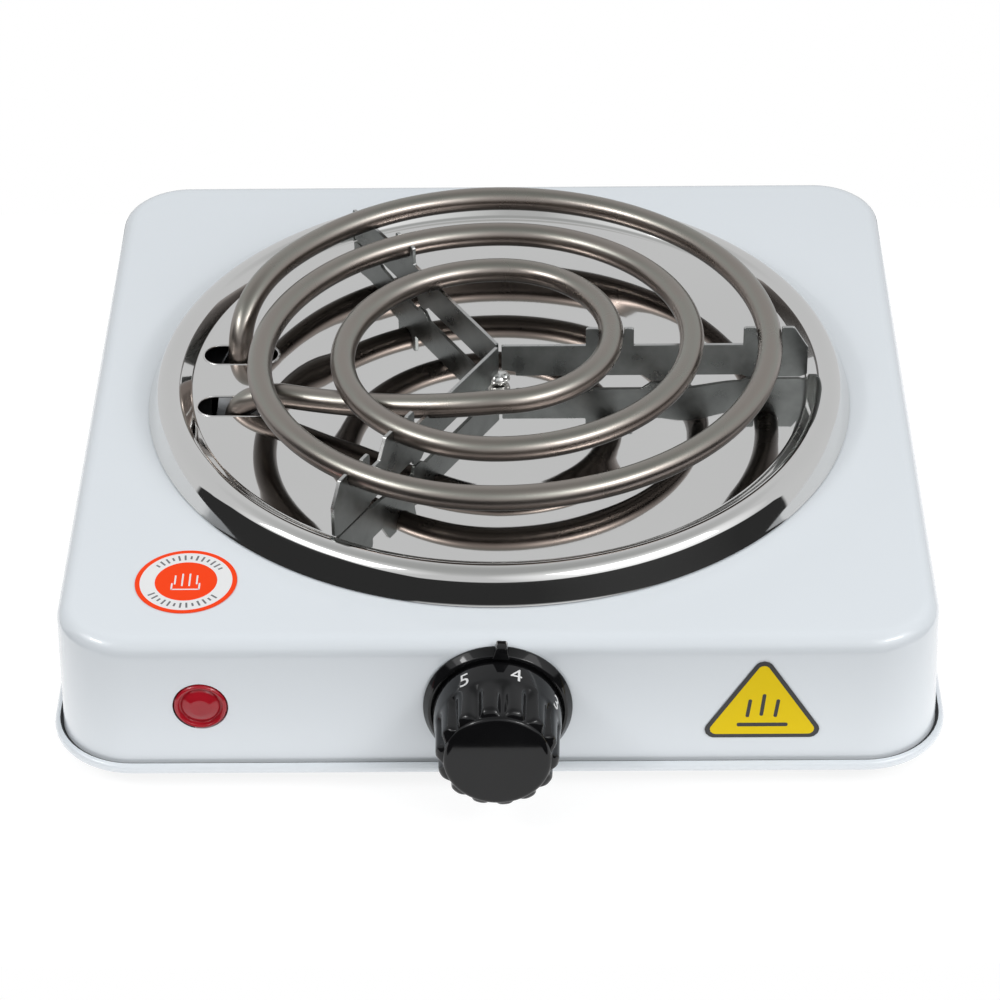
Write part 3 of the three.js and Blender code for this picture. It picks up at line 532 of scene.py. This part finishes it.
def make_housing():
    outer = [body_loop(offset, -drop) for offset, drop in housing_profile()]
    bottom = outer[-1][0][2]
    inner_top = [body_loop(-EDGE_RADIUS, -SHEET), body_loop(-SHEET, -EDGE_RADIUS)]
    inner_bottom = body_loop((-bottom - EDGE_RADIUS) * math.tan(FLARE) - SHEET, bottom)
    loops = [opening_loop(OPENING_RADIUS, 0, outer[0]), opening_loop(HIDDEN_RADIUS, 0, outer[0]), *outer,
             inner_bottom, inner_top[1], inner_top[0], opening_loop(OPENING_RADIUS, -SHEET, outer[0])]
    piece = loft("housing_skin", loops, closed=True)
    place(piece, Matrix.Translation((0, BODY_Y, TOP_Z)))
    shaft_hole = place(prism("hole", circle(5.6, 32), -4, 4), on_wall(0, CONTROL_DROP))
    lamp_hole = place(prism("hole", circle(LENS_RADIUS + 0.3, 48), -4, 4), on_wall(LAMP_X, CONTROL_DROP))
    gland = centre_of("cord_gland")
    upright = Matrix.Translation((gland.x, HOUSING_HIGH.y, gland.z)) @ Matrix.Rotation(math.pi / 2, 4, "X")
    gland_hole = place(prism("hole", circle(6.6, 40), -8, 8), upright)
    cut(piece, [shaft_hole, lamp_hole, gland_hole])
    dress(piece, "enamel", "base", "enamel", "housing")
    paint_inside_and_shade(piece)


def paint_inside_and_shade(piece):
    """The inside of the housing keeps its near-black ground coat, and its top face under the pan gets the same
    near-black as painted shade.
    """
    piece.data.materials.append(MATERIALS["ground_coat_and_shade"])
    for face in piece.data.polygons:
        middle, normal = face.center, face.normal
        under_top = normal.z < -0.5 and middle.z > TOP_Z - 1.5 * MM
        inwards = normal.x * middle.x + normal.y * (middle.y - BODY_Y) < -0.02 and middle.z < TOP_Z - 0.5 * MM
        from_axis = Vector((middle.x - PAN.x, middle.y - PAN.y)).length
        # painted shade: the top face under the pan is painted near-black, so that the pan's slots look dark
        painted_shade_under_pan = normal.z > 0.5 and from_axis < HIDDEN_RADIUS * MM
        if under_top or painted_shade_under_pan or (inwards and middle.z > HOUSING_LOW.z + 0.5 * MM):
            face.material_index = 1


# ---------------------------------------------------------------- drip pan


def pan_floor(radius):
    """Height of the pan's floor above the top face: a shallow dish inside a flat outer part."""
    t = min(1, max(0, (radius - PAN_DISH[0]) / (PAN_DISH[1] - PAN_DISH[0])))
    return PAN_FLOOR_RISE - PAN_DISH_DEPTH * (1 - t * t * (3 - 2 * t))


def offset_line(points, distance):
    """The line moved by the distance to the right of its direction."""
    result = []
    for i, (r, h) in enumerate(points):
        along = Vector(points[min(i + 1, len(points) - 1)]) - Vector(points[max(i - 1, 0)])
        along.normalize()
        result.append((r + along.y * distance, max(0.33, h - along.x * distance)))
    return result


def pan_ring():
    """Upper side of the ring from the floor to the rim, as (radius, height)."""
    points = []
    for k in range(13):
        a = math.radians(45 * k / 12)
        points.append((PAN_FLOOR_RADIUS + 2 * math.sin(a), PAN_FLOOR_RISE + 2 * (1 - math.cos(a))))
    for k in range(15):
        a = math.radians(45 * (1 - k / 14))
        points.append((PAN_CREST_RADIUS - 4 * math.sin(a), PAN_CREST_RISE - 4 * (1 - math.cos(a))))
    for k in range(1, 17):
        a = math.radians(PAN_SLOPE * k / 16)
        points.append((PAN_CREST_RADIUS + 4.2 * math.sin(a), PAN_CREST_RISE - 4.2 * (1 - math.cos(a))))
    radius, height = points[-1]
    slope = math.radians(PAN_SLOPE)
    for step in (1.8, 3.6, 5.4):
        points.append((radius + step * math.cos(slope), height - step * math.sin(slope)))
    return points


def pan_profile():
    """Upper side from the middle out over the ring, then back along the underside, as (radius, height)."""
    floor = [(r, pan_floor(r)) for r in (0, 30, 44, *range(46, 65, 2), 70, 78)]
    upper = floor + pan_ring()
    edge = PAN_RADIUS / MM
    rim = [(edge - 0.12, 0.62), (edge, 0.38), (edge - 0.1, 0.33)]
    under = offset_line(upper, 0.6)[::-1]
    return upper + rim + under


def make_pan():
    piece = lathe("drip_pan_mirror", pan_profile(), 256)
    places = [(SLOT_X, side * SLOT_OFFSET_Y) for side in (-1, 1)]
    cut(piece, [prism("slot", obround(SLOT_LENGTH, SLOT_WIDTH, at), 0, 12) for at in places])
    on_pan(piece)
    dress(piece, "pan_chrome", "base", "pan_chrome", "drip_pan")
    for k, at in enumerate(places):
        make_slot_edge(k + 1, at)


def make_slot_edge(number, at):
    """Rolled edge round one slot of the pan."""
    loops = []
    for turn in range(10):
        a = 2 * math.pi * turn / 10
        out = 0.3 * math.cos(a)
        height = PAN_FLOOR_RISE - 0.12 + 0.3 * math.sin(a)
        outline = obround(SLOT_LENGTH + 2 * out - 0.3, SLOT_WIDTH + 2 * out - 0.3, at)
        loops.append([(x, y, height) for x, y in outline])
    piece = on_pan(loft(f"slot_edge_{number}", loops, closed=True, sharp_angle=60))
    dress(piece, "pan_chrome", "base", "pan_chrome")


# ---------------------------------------------------------------- heating coil


def arc(centre_y, radius_x, radius_y, start, end, step=2.0):
    """Points on an oval arc, with the angle measured anticlockwise from the front."""
    count = max(2, round(abs(end - start) / step))
    points = []
    for k in range(count):
        a = math.radians(start + (end - start) * k / count)
        points.append(Vector((radius_x * math.sin(a), centre_y - radius_y * math.cos(a), COIL_RISE)))
    return points


def bezier(a, b, c, d, count):
    points = []
    for k in range(1, count + 1):
        t = k / count
        s = 1 - t
        points.append(a * s**3 + b * (3 * s * s * t) + c * (3 * s * t * t) + d * t**3)
    return points


def coil_line():
    """Centre line of the coil, relative to the pan's centre and the top face, in millimetres."""
    front_y, rear_y = -SLOT_OFFSET_Y + LEG_SHIFT_Y, SLOT_OFFSET_Y + LEG_SHIFT_Y
    bottom = LEG_BOTTOM - TOP_Z / MM
    front_leg = lambda dx, dy, dz: Vector((LEG_X + dx, front_y + dy, PAN_FLOOR_RISE + dz))
    rear_leg = lambda dz, dy=0: Vector((LEG_X, rear_y + dy, PAN_FLOOR_RISE + dz))
    start = Vector((0, TURNS[0][0], COIL_RISE))
    bend = front_leg(13, -2.4, 5.2)
    points = [Vector((LEG_X, front_y, bottom)), front_leg(0, 0, -7)]
    points += bezier(front_leg(0, 0, -7), front_leg(0, 0, 1), front_leg(3.5, -0.6, 4), bend, 18)
    points += bezier(bend, front_leg(30, -7, 5), start + Vector((-22, 0, -2.4)), start, 32)[:-1]
    for k, (front, right, rear, left) in enumerate(TURNS):
        points += arc((rear + front) / 2, right, (rear - front) / 2, 0, 180)
        if k + 1 < len(TURNS):
            front = TURNS[k + 1][0]
            points += arc((rear + front) / 2, -left, (rear - front) / 2, 180, 360)
    last_centre = TURNS[-1][2] - LAST_ARC_RADIUS
    points += arc(last_centre, LAST_ARC_RADIUS, LAST_ARC_RADIUS, 180, 180 + LAST_ARC_SWEEP)
    a = math.radians(180 + LAST_ARC_SWEEP)
    end = Vector((LAST_ARC_RADIUS * math.sin(a), last_centre - LAST_ARC_RADIUS * math.cos(a), COIL_RISE))
    onwards = end + Vector((math.cos(a), math.sin(a), 0)) * 24
    points += [end] + bezier(end, onwards, rear_leg(17, 1.5), rear_leg(-1), 32)
    points += [rear_leg(-7), Vector((LEG_X, rear_y, bottom))]
    return points


COIL_LINE = coil_line()


def make_coil():
    origin = Vector((PAN.x, PAN.y, TOP_Z))
    piece = tube("coil_sheath", [origin + p * MM for p in COIL_LINE], (TUBE_RADIUS - 0.02) * MM, 28)
    dress(piece, "sheath", "element", "sheath", "heating_coil")


# ---------------------------------------------------------------- support arms


def crossings(angle):
    """Distances from the hub at which the level part of the coil crosses the ray at the angle."""
    ray = Vector((math.cos(angle), math.sin(angle)))
    found = []
    for a, b in zip(COIL_LINE, COIL_LINE[1:]):
        if min(a.z, b.z) < COIL_RISE - 0.01:
            continue
        p, q = Vector(a[:2]), Vector(b[:2])
        side_p, side_q = ray.x * p.y - ray.y * p.x, ray.x * q.y - ray.y * q.x
        if side_p * side_q > 0 or ray.dot(p) < 0:
            continue
        found.append(p.lerp(q, side_p / (side_p - side_q)).length)
    return sorted(found)


def arm_outline(ears):
    """Outline of one strip on edge as (distance from the hub, height above the top face)."""
    low, top = PAN_FLOOR_RISE + ARM_CLEARANCE, PAN_FLOOR_RISE + ARM_TOP
    foot = lambda radius: (radius, pan_floor(radius) + 0.33, 0.2)
    points = [(4.5, low, 0.3), (37.8, low, 0.4), foot(40.2), foot(43.4), (44, low, 0.3), (64, low, 0.3),
              foot(65.4), foot(ARM_LENGTH - 2), (ARM_LENGTH, low, 0.5), (ARM_LENGTH, top - 1, 0.5)]
    tip = top + EAR_HEIGHT
    saddle = TUBE_RADIUS + 0.08
    middle = top + 0.12 + saddle
    for radius, inner, outer, steep in sorted(ears, reverse=True):
        near, far = radius + saddle, radius - saddle
        slope = near + outer if steep else min(near + outer + 3.2, ARM_LENGTH - 0.6)
        points += [(slope, top, 0.3), (near + outer, tip, 0.7), (near, tip, 0.5), (near, middle)]
        for k in range(1, 12):
            a = math.pi * k / 12
            points.append((radius + saddle * math.cos(a), middle - saddle * math.sin(a)))
        points += [(far, middle), (far, tip, 0.5), (far - inner, tip, 0.7), (far - inner, top, 0.3)]
    points += [(ARM_START, top, 0.3), (ARM_START, low + 2, 0.2), (4.5, low + 1.2, 0.2)]
    return rounded(points, 4)


ARMS = (
    ("right", 0, ((0, 3.4, 2.6, True), (2, 3.4, 3.2, False))),
    ("rear", 120, ((1, 1.6, 1.6, True),)),
    ("front", 240, ((-2, 3.4, 3.4, False), (-1, 3.4, 3.4, False))),
)


def make_arms():
    for name, degrees, ears in ARMS:
        angle = math.radians(degrees)
        radii = crossings(angle)
        outline = arm_outline([(radii[turn], *sizes) for turn, *sizes in ears])
        piece = prism(f"arm_strip_{name}", outline, -0.5, 0.5, sharp_angle=20)
        place(piece, Matrix.Rotation(angle, 4, "Z") @ Matrix.Rotation(math.pi / 2, 4, "X"))
        bevelled(piece, 0.1 * MM, 1, sharp_angle=20)
        on_pan(piece)
        dress(piece, "galvanised", "element", "galvanised", f"coil_arm_{name}")
        paint_lit_cut_edges(piece, angle)


def paint_lit_cut_edges(piece, angle):
    """The narrow cut faces of the strip that face upwards are bright: bare cut steel, with a painted highlight
    where they face up.
    """
    piece.data.materials.append(MATERIALS["cut_steel_and_highlight"])
    across = Vector((-math.sin(angle), math.cos(angle), 0))
    for face in piece.data.polygons:
        from_hub = (face.center - Vector((PAN.x, PAN.y, face.center.z))).length
        # painted highlight: only the cut faces turned upwards take the bright steel
        if abs(face.normal.dot(across)) < 0.5 and face.normal.z > 0.3 and from_hub > 1.2 * MM:
            face.material_index = 1


def make_hub():
    """Uneven weld where the strips meet: a low bead with beads of spatter run onto it."""
    low = PAN_FLOOR_RISE - 0.6
    profile = rounded([(0, low), (2.2, low, 0.3), (3.0, low + 1.1, 0.6), (2.2, low + 2.3, 0.6),
                       (0, low + 2.6)])
    piece = lathe("hub_weld_bead", profile, 40)
    beads = ((1.6, -1.3, 5.6, 1.15), (2.2, -0.6, 4.9, 0.8), (-1.6, -1.7, 4.6, 0.8), (0.4, -2.1, 4.5, 0.75),
             (-0.9, 1.5, 5.3, 0.9))
    for x, y, z, size in beads:
        turned = [(size * math.sin(math.pi * k / 10), -size * math.cos(math.pi * k / 10)) for k in range(11)]
        turned[0], turned[-1] = (0, -size), (0, size)
        bead = place(lathe("bead", turned, 20), Matrix.Translation(Vector((x, y, z)) * MM))
        unite(piece, bead)
    on_pan(piece)
    dress(piece, "bright_weld", "element", "steel", "hub_weld")


# ---------------------------------------------------------------- knob, bezel and pilot lamp


def make_bezel():
    profile = rounded([(5.8, 1.3), (15.3, 1.3), (15.7, 0.3), (BEZEL_RADIUS - 0.05, 0.3, 0.15),
                       (BEZEL_RADIUS, 0.9, 0.5), (16.9, 2.8, 0.6), (16.2, 2.88, 0.25), (15.95, 2.3, 0.2),
                       (5.8, 2.3)])
    ring = lathe("knob_bezel_ring", profile, 160)
    nub = rounded([(-2.1, 16.3, 0.2), (2.1, 16.3, 0.2), (1.25, 19.8, 0.5), (-1.25, 19.8, 0.5)], 4)
    nub_piece = prism("nub", nub, 0.3, 3.6)
    bevelled(nub_piece, 0.45 * MM, 3)
    place(nub_piece, Matrix.Rotation(-NUB_TURN, 4, "Z"))
    unite(ring, nub_piece)
    relief = prism("relief", [(-20, -25), (20, -25), (20, -16.05), (-20, -16.05)], -1, 6)
    cut(ring, [relief])
    place(ring, on_wall(0, CONTROL_DROP))
    dress(ring, "black_plastic", "base", "black_plastic", "knob_bezel")


def knob_loop(radius, lobe, z, count=KNOB_LOBES * 20):
    """Round loop with soft narrow valleys between full lobes."""
    pitch = 2 * math.pi / KNOB_LOBES
    loop = []
    for k in range(count):
        a = 2 * math.pi * k / count
        off = (a - math.pi / 2 + KNOB_VALLEY + pitch / 2) % pitch - pitch / 2
        valley = math.exp(-(off / (0.2 * pitch)) ** 2)
        r = radius + lobe * (1 - 2.4 * valley)
        loop.append((r * math.cos(a), r * math.sin(a), z))
    return loop


def knob_levels():
    """(height off the wall, radius, lobe height) up the outside of the knob to its flat face."""
    face = KNOB_FRONT
    levels = [(KNOB_BACK, 13.4, 0), (KNOB_BACK, 15.3, 0)]
    levels += [(KNOB_BACK + 0.15, 15.6, 0), (KNOB_BACK + 0.5, 15.75, 0)]
    levels += [(4.6, 15.72, 0), (7.0, 15.55, 0), (9.2, 15.3, 0), (9.9, 15.2, 0), (10.5, 14.98, 0.12)]
    levels += [(11.3, 14.72, 0.35), (12.4, 14.5, 0.5), (14, 14.4, 0.58), (17, 14.25, 0.66)]
    levels += [(19.2, 14.14, 0.7)]
    levels += [(19.9, 14.08, 0.68), (20.4, 13.92, 0.6), (20.8, 13.66, 0.45)]
    levels += [(21.05, 13.36, 0.25), (21.15, 13.12, 0.06), (21.2, 13.0, 0), (21.4, 12.96, 0)]
    levels += [(21.7, 12.84, 0), (21.95, 12.6, 0), (22.12, 12.28, 0), (face, 11.9, 0)]
    levels += [(face, 11.5, 0), (face, 8.0, 0), (face, 4.0, 0), (face, 0.4, 0)]
    return levels


def make_knob():
    loops = [knob_loop(radius, lobe, z) for z, radius, lobe in knob_levels()]
    hollow = [knob_loop(5.4, 0, KNOB_BACK), knob_loop(5.4, 0, 15), knob_loop(13.4, 0, 15)]
    hollow += [knob_loop(13.2, 0, KNOB_BACK - 1), knob_loop(5.4, 0, KNOB_BACK - 1)]
    piece = loft("knob_cap", loops, sharp_angle=50)
    bore = prism("bore", circle(3.3, 32), KNOB_BACK - 1, 17.5)
    well = loft("well", hollow, closed=True)
    cut(piece, [bore, well], 50)
    place(piece, on_wall(0, CONTROL_DROP))
    dress(piece, "black_plastic", "dial", "black_plastic", "knob")


NUMERALS = (("5", -30.5), ("4", 17.6), ("3", 65.7), ("2", 113.8), ("1", 162), ("0", 210))


def make_numerals():
    """Printed numerals wrapped on the skirt, their tops towards the bezel."""
    height, width = 4.3, 1.05
    for text, degrees in NUMERALS:
        curve = bpy.data.curves.new(f"numeral_{text}", "FONT")
        curve.body = text
        curve.align_x = "CENTER"
        curve.size = height * 1.38
        curve.extrude = 0.04
        curve.offset = -0.02
        letter = bpy.data.objects.new(f"numeral_{text}", curve)
        bpy.context.scene.collection.objects.link(letter)
        graph = bpy.context.evaluated_depsgraph_get()
        mesh = bpy.data.meshes.new_from_object(letter.evaluated_get(graph))
        bpy.data.objects.remove(letter)
        piece = bpy.data.objects.new(f"numeral_{text}", mesh)
        bpy.context.scene.collection.objects.link(piece)
        slice_upright(mesh)
        wrap_on_skirt(mesh, math.radians(degrees), width)
        clean(piece)
        place(piece, on_wall(0, CONTROL_DROP))
        dress(piece, "print_white", "dial", "black_plastic")


def slice_upright(mesh):
    """Cuts flat lettering into narrow upright strips, so that it can bend."""
    work = bmesh.new()
    work.from_mesh(mesh)
    for k in range(-12, 13):
        geometry = [*work.verts, *work.edges, *work.faces]
        bmesh.ops.bisect_plane(work, geom=geometry, plane_co=(k * 0.27 + 0.01, 0, 0), plane_no=(1, 0, 0))
    work.to_mesh(mesh)
    work.free()


def wrap_on_skirt(mesh, clockwise, width):
    """Bends flat lettering round the knob's skirt, centred at an angle clockwise from the top."""
    low_edge, skirt_radius = 9.5, 15.5
    for vertex in mesh.vertices:
        x, y, depth = vertex.co
        z = low_edge - y
        radius = 15.75 - (z - KNOB_BACK - 0.5) * 0.08 + 0.07 + depth
        a = math.pi / 2 - clockwise - x * width / skirt_radius
        vertex.co = Vector((radius * math.cos(a), radius * math.sin(a), z)) * MM


def make_lens():
    """Lens with a rounded rim, a groove inside it and a low dome."""
    r = LENS_RADIUS - 0.1
    profile = rounded([(0, 0.75), (2.4, 0.62, 2), (4.4, -0.1, 0.8), (5.1, -0.75, 0.3), (5.5, 0.35, 0.25),
                       (6.0, 0.55, 0.35), (r, 0.1, 0.3), (r, -1.25), (7.75, -1.25, 0.2), (7.75, -2.35, 0.2),
                       (5.8, -2.6), (5.8, -9), (4.9, -9), (4.9, -3.4), (0, -3.6)])
    piece = place(lathe("pilot_lens_cap", profile, 96), on_wall(LAMP_X, CONTROL_DROP))
    dress(piece, "red_lens", "base", "red_lens", "pilot_lens")


# ---------------------------------------------------------------- labels


def flat_ring(name, outer, inner, low, high):
    return lathe(name, [(inner, low), (outer, low), (outer, high), (inner, high)], 128)


def make_round_label():
    """Orange ring, white ring with plain dashes, and an orange disc with a plain raised-bar mark."""
    low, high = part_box("round_label")
    middle = (low + high) / 2
    at = Matrix.Translation((middle.x, middle.y, low.z))
    radius = (high.x - low.x) / 2 / MM
    base = place(prism("round_label_sheet", circle(radius - 0.02, 128), 0, 0.1), at)
    dress(base, "orange_label", "base", "orange_label", "round_label")
    white = place(flat_ring("round_label_ring", radius - 1.2, radius - 4.9, 0.08, 0.13), at)
    dress(white, "label_white", "base", "orange_label")
    for k, degrees in enumerate([*range(-58, 59, 9), *range(122, 239, 9)]):
        long = 0.95 if k % 3 else 0.6
        tick = [(-0.24, -long), (0.24, -long), (0.24, long), (-0.24, long)]
        outwards = Matrix.Translation((0, (radius - 3.05) * MM, 0))
        turn = Matrix.Rotation(math.radians(degrees), 4, "Z") @ outwards
        piece = place(prism(f"round_label_tick_{k:02d}", tick, 0.12, 0.16), at @ turn)
        dress(piece, "label_grey", "base", "orange_label")
    bars = [(x, 0.6, 0.42, length) for x, length in ((-2.7, 3.6), (-0.9, 5.0), (0.9, 5.0), (2.7, 3.6))]
    bars += [(0, -3.2, 7.0, 0.42), (-3.4, -2.0, 0.42, 2.6), (3.4, -2.0, 0.42, 2.6)]
    for k, (x, y, width, length) in enumerate(bars):
        bar = rounded([(x - width / 2, y - length / 2, 0.2), (x + width / 2, y - length / 2, 0.2),
                       (x + width / 2, y + length / 2, 0.2), (x - width / 2, y + length / 2, 0.2)])
        piece = place(prism(f"round_label_bar_{k}", bar, 0.08, 0.13), at)
        dress(piece, "label_white", "base", "orange_label")


def triangle(width, height, corner, drop=0.0):
    return rounded([(-width / 2, -height / 2 + drop, corner), (width / 2, -height / 2 + drop, corner),
                    (0, height / 2 + drop, corner)], 6)


def make_triangle_label():
    """Yellow triangle with a black border and plain bars."""
    at = on_wall(TRIANGLE_X, TRIANGLE_DROP)
    outline = triangle(TRIANGLE_WIDTH, TRIANGLE_HEIGHT, TRIANGLE_CORNER)
    sheet = place(prism("triangle_label_sheet", outline, 0.15, 0.25), at)
    dress(sheet, "label_black", "base", "yellow_label", "triangle_label")
    field = place(prism("triangle_label_field", triangle(27.9, 22.0, 1.5, -0.5), 0.24, 0.29), at)
    dress(field, "yellow_label", "base", "yellow_label")
    bars = [(-3.4, -3.6, 0.9, 5.4, 0.35), (0, -2.6, 0.9, 6.6, 0.35), (3.4, -3.6, 0.9, 5.4, 0.35)]
    bars += [(0, -8.6, 12.4, 1.1, 0)]
    for k, (x, y, width, length, lean) in enumerate(bars):
        corners = [(-1, -1), (1, -1), (1, 1), (-1, 1)]
        bar = rounded([(x + sx * width / 2 + sy * lean, y + sy * length / 2, 0.4) for sx, sy in corners])
        piece = place(prism(f"triangle_label_bar_{k}", bar, 0.28, 0.32), at)
        dress(piece, "label_black", "base", "yellow_label")


# ---------------------------------------------------------------- feet, gland and base


def make_feet():
    for k in (1, 2, 3, 4):
        low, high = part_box(f"foot_{k}")
        middle = (low + high) / 2
        top = (high.z - low.z) / MM
        profile = rounded([(1.9, 1.9, 0.1), (4.0, 1.9, 0.2), (4.0, 0.02, 0.3), (6.9, 0.02, 0.6),
                           (7.9, top - 1.2, 0.8), (7.9, top, 0.1), (1.9, top, 0.1)])
        piece = place(lathe(f"foot_pad_{k}", profile, 48), Matrix.Translation((middle.x, middle.y, low.z)))
        dress(piece, "rubber", "base", "rubber", f"foot_{k}")


def make_gland():
    low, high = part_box("cord_gland")
    middle = (low + high) / 2
    length = (high.y - low.y) / MM
    wall = length - 7
    profile = rounded([(3.7, 0, 0.2), (8, 0, 0.3), (8, wall - 3.2, 0.3), (6.2, wall - 2.6, 0.2),
                       (6.2, wall + 0.5, 0.1), (8.5, wall + 0.5, 0.3), (8.5, wall + 2.4, 0.6),
                       (6.4, wall + 3, 0.6), (5.5, length - 0.05, 0.6), (3.7, length - 0.05, 0.6)])
    at = Matrix.Translation((middle.x, low.y, middle.z)) @ Matrix.Rotation(-math.pi / 2, 4, "X")
    piece = place(lathe("gland_bush", profile, 64), at)
    dress(piece, "black_plastic", "base", "black_plastic", "cord_gland")


# painted shade: parts under the pan, seen through its slots, are made near-black
DARKENED_AS_SHADE = ("element_bracket", "heat_shield")


def finish_cad_nodes():
    """Carried-over CAD nodes take the finish of their slot, apart from the bracket and heat shield under the
    pan, which take the near-black ground coat as painted shade.
    """
    slots = {entry["node"]: entry["material_slot"] for entry in frame["record"]["subparts"]}
    for name, node in frame["nodes"].items():
        node.data.materials.clear()
        finish = "ground_coat_and_shade" if name in DARKENED_AS_SHADE else slots[name]
        node.data.materials.append(MATERIALS[finish])


# ---------------------------------------------------------------- floor, light and camera


def make_floor():
    outline = [(-0.2, -0.163, 0), (0.2, -0.163, 0), (0.2, 0.17, 0), (-0.2, 0.17, 0)]
    floor = mesh_object("floor", outline, [[0, 1, 2, 3]])
    material, nodes, links, shader = shader_material("floor", (0.25, 0.25, 0.25), 0.6)
    shader.inputs["Emission Color"].default_value = (1, 1, 1, 1)
    shader.inputs["Emission Strength"].default_value = 0.82
    floor.data.materials.append(material)


def area_light(name, location, target, size, power, color=(1, 1, 1)):
    data = bpy.data.lights.new(name, "AREA")
    data.shape = "RECTANGLE"
    data.size, data.size_y = size
    data.energy = power
    data.color = color
    lamp = bpy.data.objects.new(name, data)
    bpy.context.scene.collection.objects.link(lamp)
    lamp.location = location
    lamp.rotation_euler = (Vector(target) - Vector(location)).to_track_quat("-Z", "Y").to_euler()
    return lamp


def lobe(nodes, links, direction, azimuth, elevation, start, end, strength):
    """Soft glow about a direction of the sky: full within the cosine end, nothing beyond the cosine start."""
    a, e = math.radians(azimuth), math.radians(elevation)
    dot = nodes.new("ShaderNodeVectorMath")
    dot.operation = "DOT_PRODUCT"
    links.new(direction, dot.inputs[0])
    dot.inputs[1].default_value = (math.cos(e) * math.cos(a), math.cos(e) * math.sin(a), math.sin(e))
    return spread(nodes, links, dot.outputs["Value"], start, end, 0, strength)


def sky_edge(nodes, links, parts):
    """Above nothing where the studio is lit: dark near the horizon in front and, higher up, at the left."""
    x, y, z = (parts.outputs[axis] for axis in "XYZ")
    rear = maths(nodes, links, "ADD", z, maths(nodes, links, "MULTIPLY", y, 0.35))
    rear = maths(nodes, links, "ADD", rear, spread(nodes, links, y, 0.03, 0.12, -0.1, 0.1))
    edge = maths(nodes, links, "MAXIMUM", rear, maths(nodes, links, "ADD", z, -0.21))
    at_left = maths(nodes, links, "MULTIPLY", spread(nodes, links, y, 0.14, 0.26, -0.24, 0),
                    spread(nodes, links, x, -0.7, -0.4, 1, 0))
    return maths(nodes, links, "ADD", edge, at_left)


def make_world():
    """Pale studio with a duller ceiling and two glows in front, dark low down, with a white backdrop."""
    world = bpy.data.worlds.new("studio")
    bpy.context.scene.world = world
    world.use_nodes = True
    nodes, links = world.node_tree.nodes, world.node_tree.links
    coordinates = nodes.new("ShaderNodeTexCoord")
    direction = coordinates.outputs["Generated"]
    parts = nodes.new("ShaderNodeSeparateXYZ")
    links.new(direction, parts.inputs["Vector"])
    soft = nodes["Background"]
    heights = [(0, (0.64, 0.65, 0.66)), (0.7, (0.62, 0.63, 0.64)), (0.93, (0.42, 0.43, 0.43)),
               (1, (0.38, 0.39, 0.39))]
    tone = ramp(nodes, links, parts.outputs["Z"], heights)
    links.new(tone, soft.inputs["Color"])
    glow = maths(nodes, links, "ADD", lobe(nodes, links, direction, -42, 34, 0.74, 0.99, 0.9),
                 lobe(nodes, links, direction, -151, 40, 0.86, 0.99, 0.6))
    lit = spread(nodes, links, sky_edge(nodes, links, parts), -0.02, 0.03, 0.045, 1)
    strength = maths(nodes, links, "MULTIPLY", maths(nodes, links, "ADD", glow, 1), lit)
    links.new(strength, soft.inputs["Strength"])
    backdrop = nodes.new("ShaderNodeBackground")
    backdrop.inputs["Color"].default_value = (1, 1, 1, 1)
    seen = nodes.new("ShaderNodeLightPath")
    mix = nodes.new("ShaderNodeMixShader")
    links.new(seen.outputs["Is Camera Ray"], mix.inputs[0])
    links.new(soft.outputs[0], mix.inputs[1])
    links.new(backdrop.outputs[0], mix.inputs[2])
    links.new(mix.outputs[0], nodes["World Output"].inputs["Surface"])


def make_light():
    make_world()
    middle = (0, 0, 0.04)
    area_light("right_soft", (0.68, -0.62, 0.78), middle, (0.95, 0.5), 2.0)
    area_light("left_soft", (-0.78, -0.43, 0.84), middle, (0.8, 0.42), 1.6)
    area_light("right_core", (0.66, -0.60, 0.75), middle, (0.42, 0.12), 1.7)
    area_light("left_core", (-0.75, -0.42, 0.80), middle, (0.32, 0.12), 1.5)


CAMERA_ELEVATION = 36.349
CAMERA_YAW = -0.696
CAMERA_ROLL = -0.749
CAMERA_DISTANCE = 0.90169
CAMERA_LENS = 123.24


def make_camera():
    """Camera at the photograph's viewing angle, aimed a little in front of the plate's middle."""
    data = bpy.data.cameras.new("camera")
    data.sensor_width = 36
    data.lens = CAMERA_LENS
    data.clip_end = 50
    camera = bpy.data.objects.new("camera", data)
    bpy.context.scene.collection.objects.link(camera)
    aim = Vector((0.14 * MM, BODY_Y - 21.85 * MM, TOP_Z - 20 * MM))
    elevation, yaw, roll = (math.radians(v) for v in (CAMERA_ELEVATION, CAMERA_YAW, CAMERA_ROLL))
    level = math.cos(elevation)
    back = Vector((-math.sin(yaw) * level, -math.cos(yaw) * level, math.sin(elevation)))
    right = Vector((math.cos(yaw), -math.sin(yaw), 0))
    up = back.cross(right)
    rolled_right = right * math.cos(roll) + up * math.sin(roll)
    rolled_up = up * math.cos(roll) - right * math.sin(roll)
    matrix = Matrix((rolled_right, rolled_up, back)).transposed().to_4x4()
    matrix.translation = aim + back * CAMERA_DISTANCE
    camera.matrix_world = matrix
    bpy.context.scene.camera = camera


def set_view():
    scene = bpy.context.scene
    scene.view_settings.view_transform = "Standard"
    scene.view_settings.look = "None"


make_camera()
finish_cad_nodes()
make_housing()
make_pan()
make_coil()
make_arms()
make_hub()
make_bezel()
make_knob()
make_numerals()
make_lens()
make_round_label()
make_triangle_label()
make_feet()
make_gland()
make_floor()
make_light()
set_view()
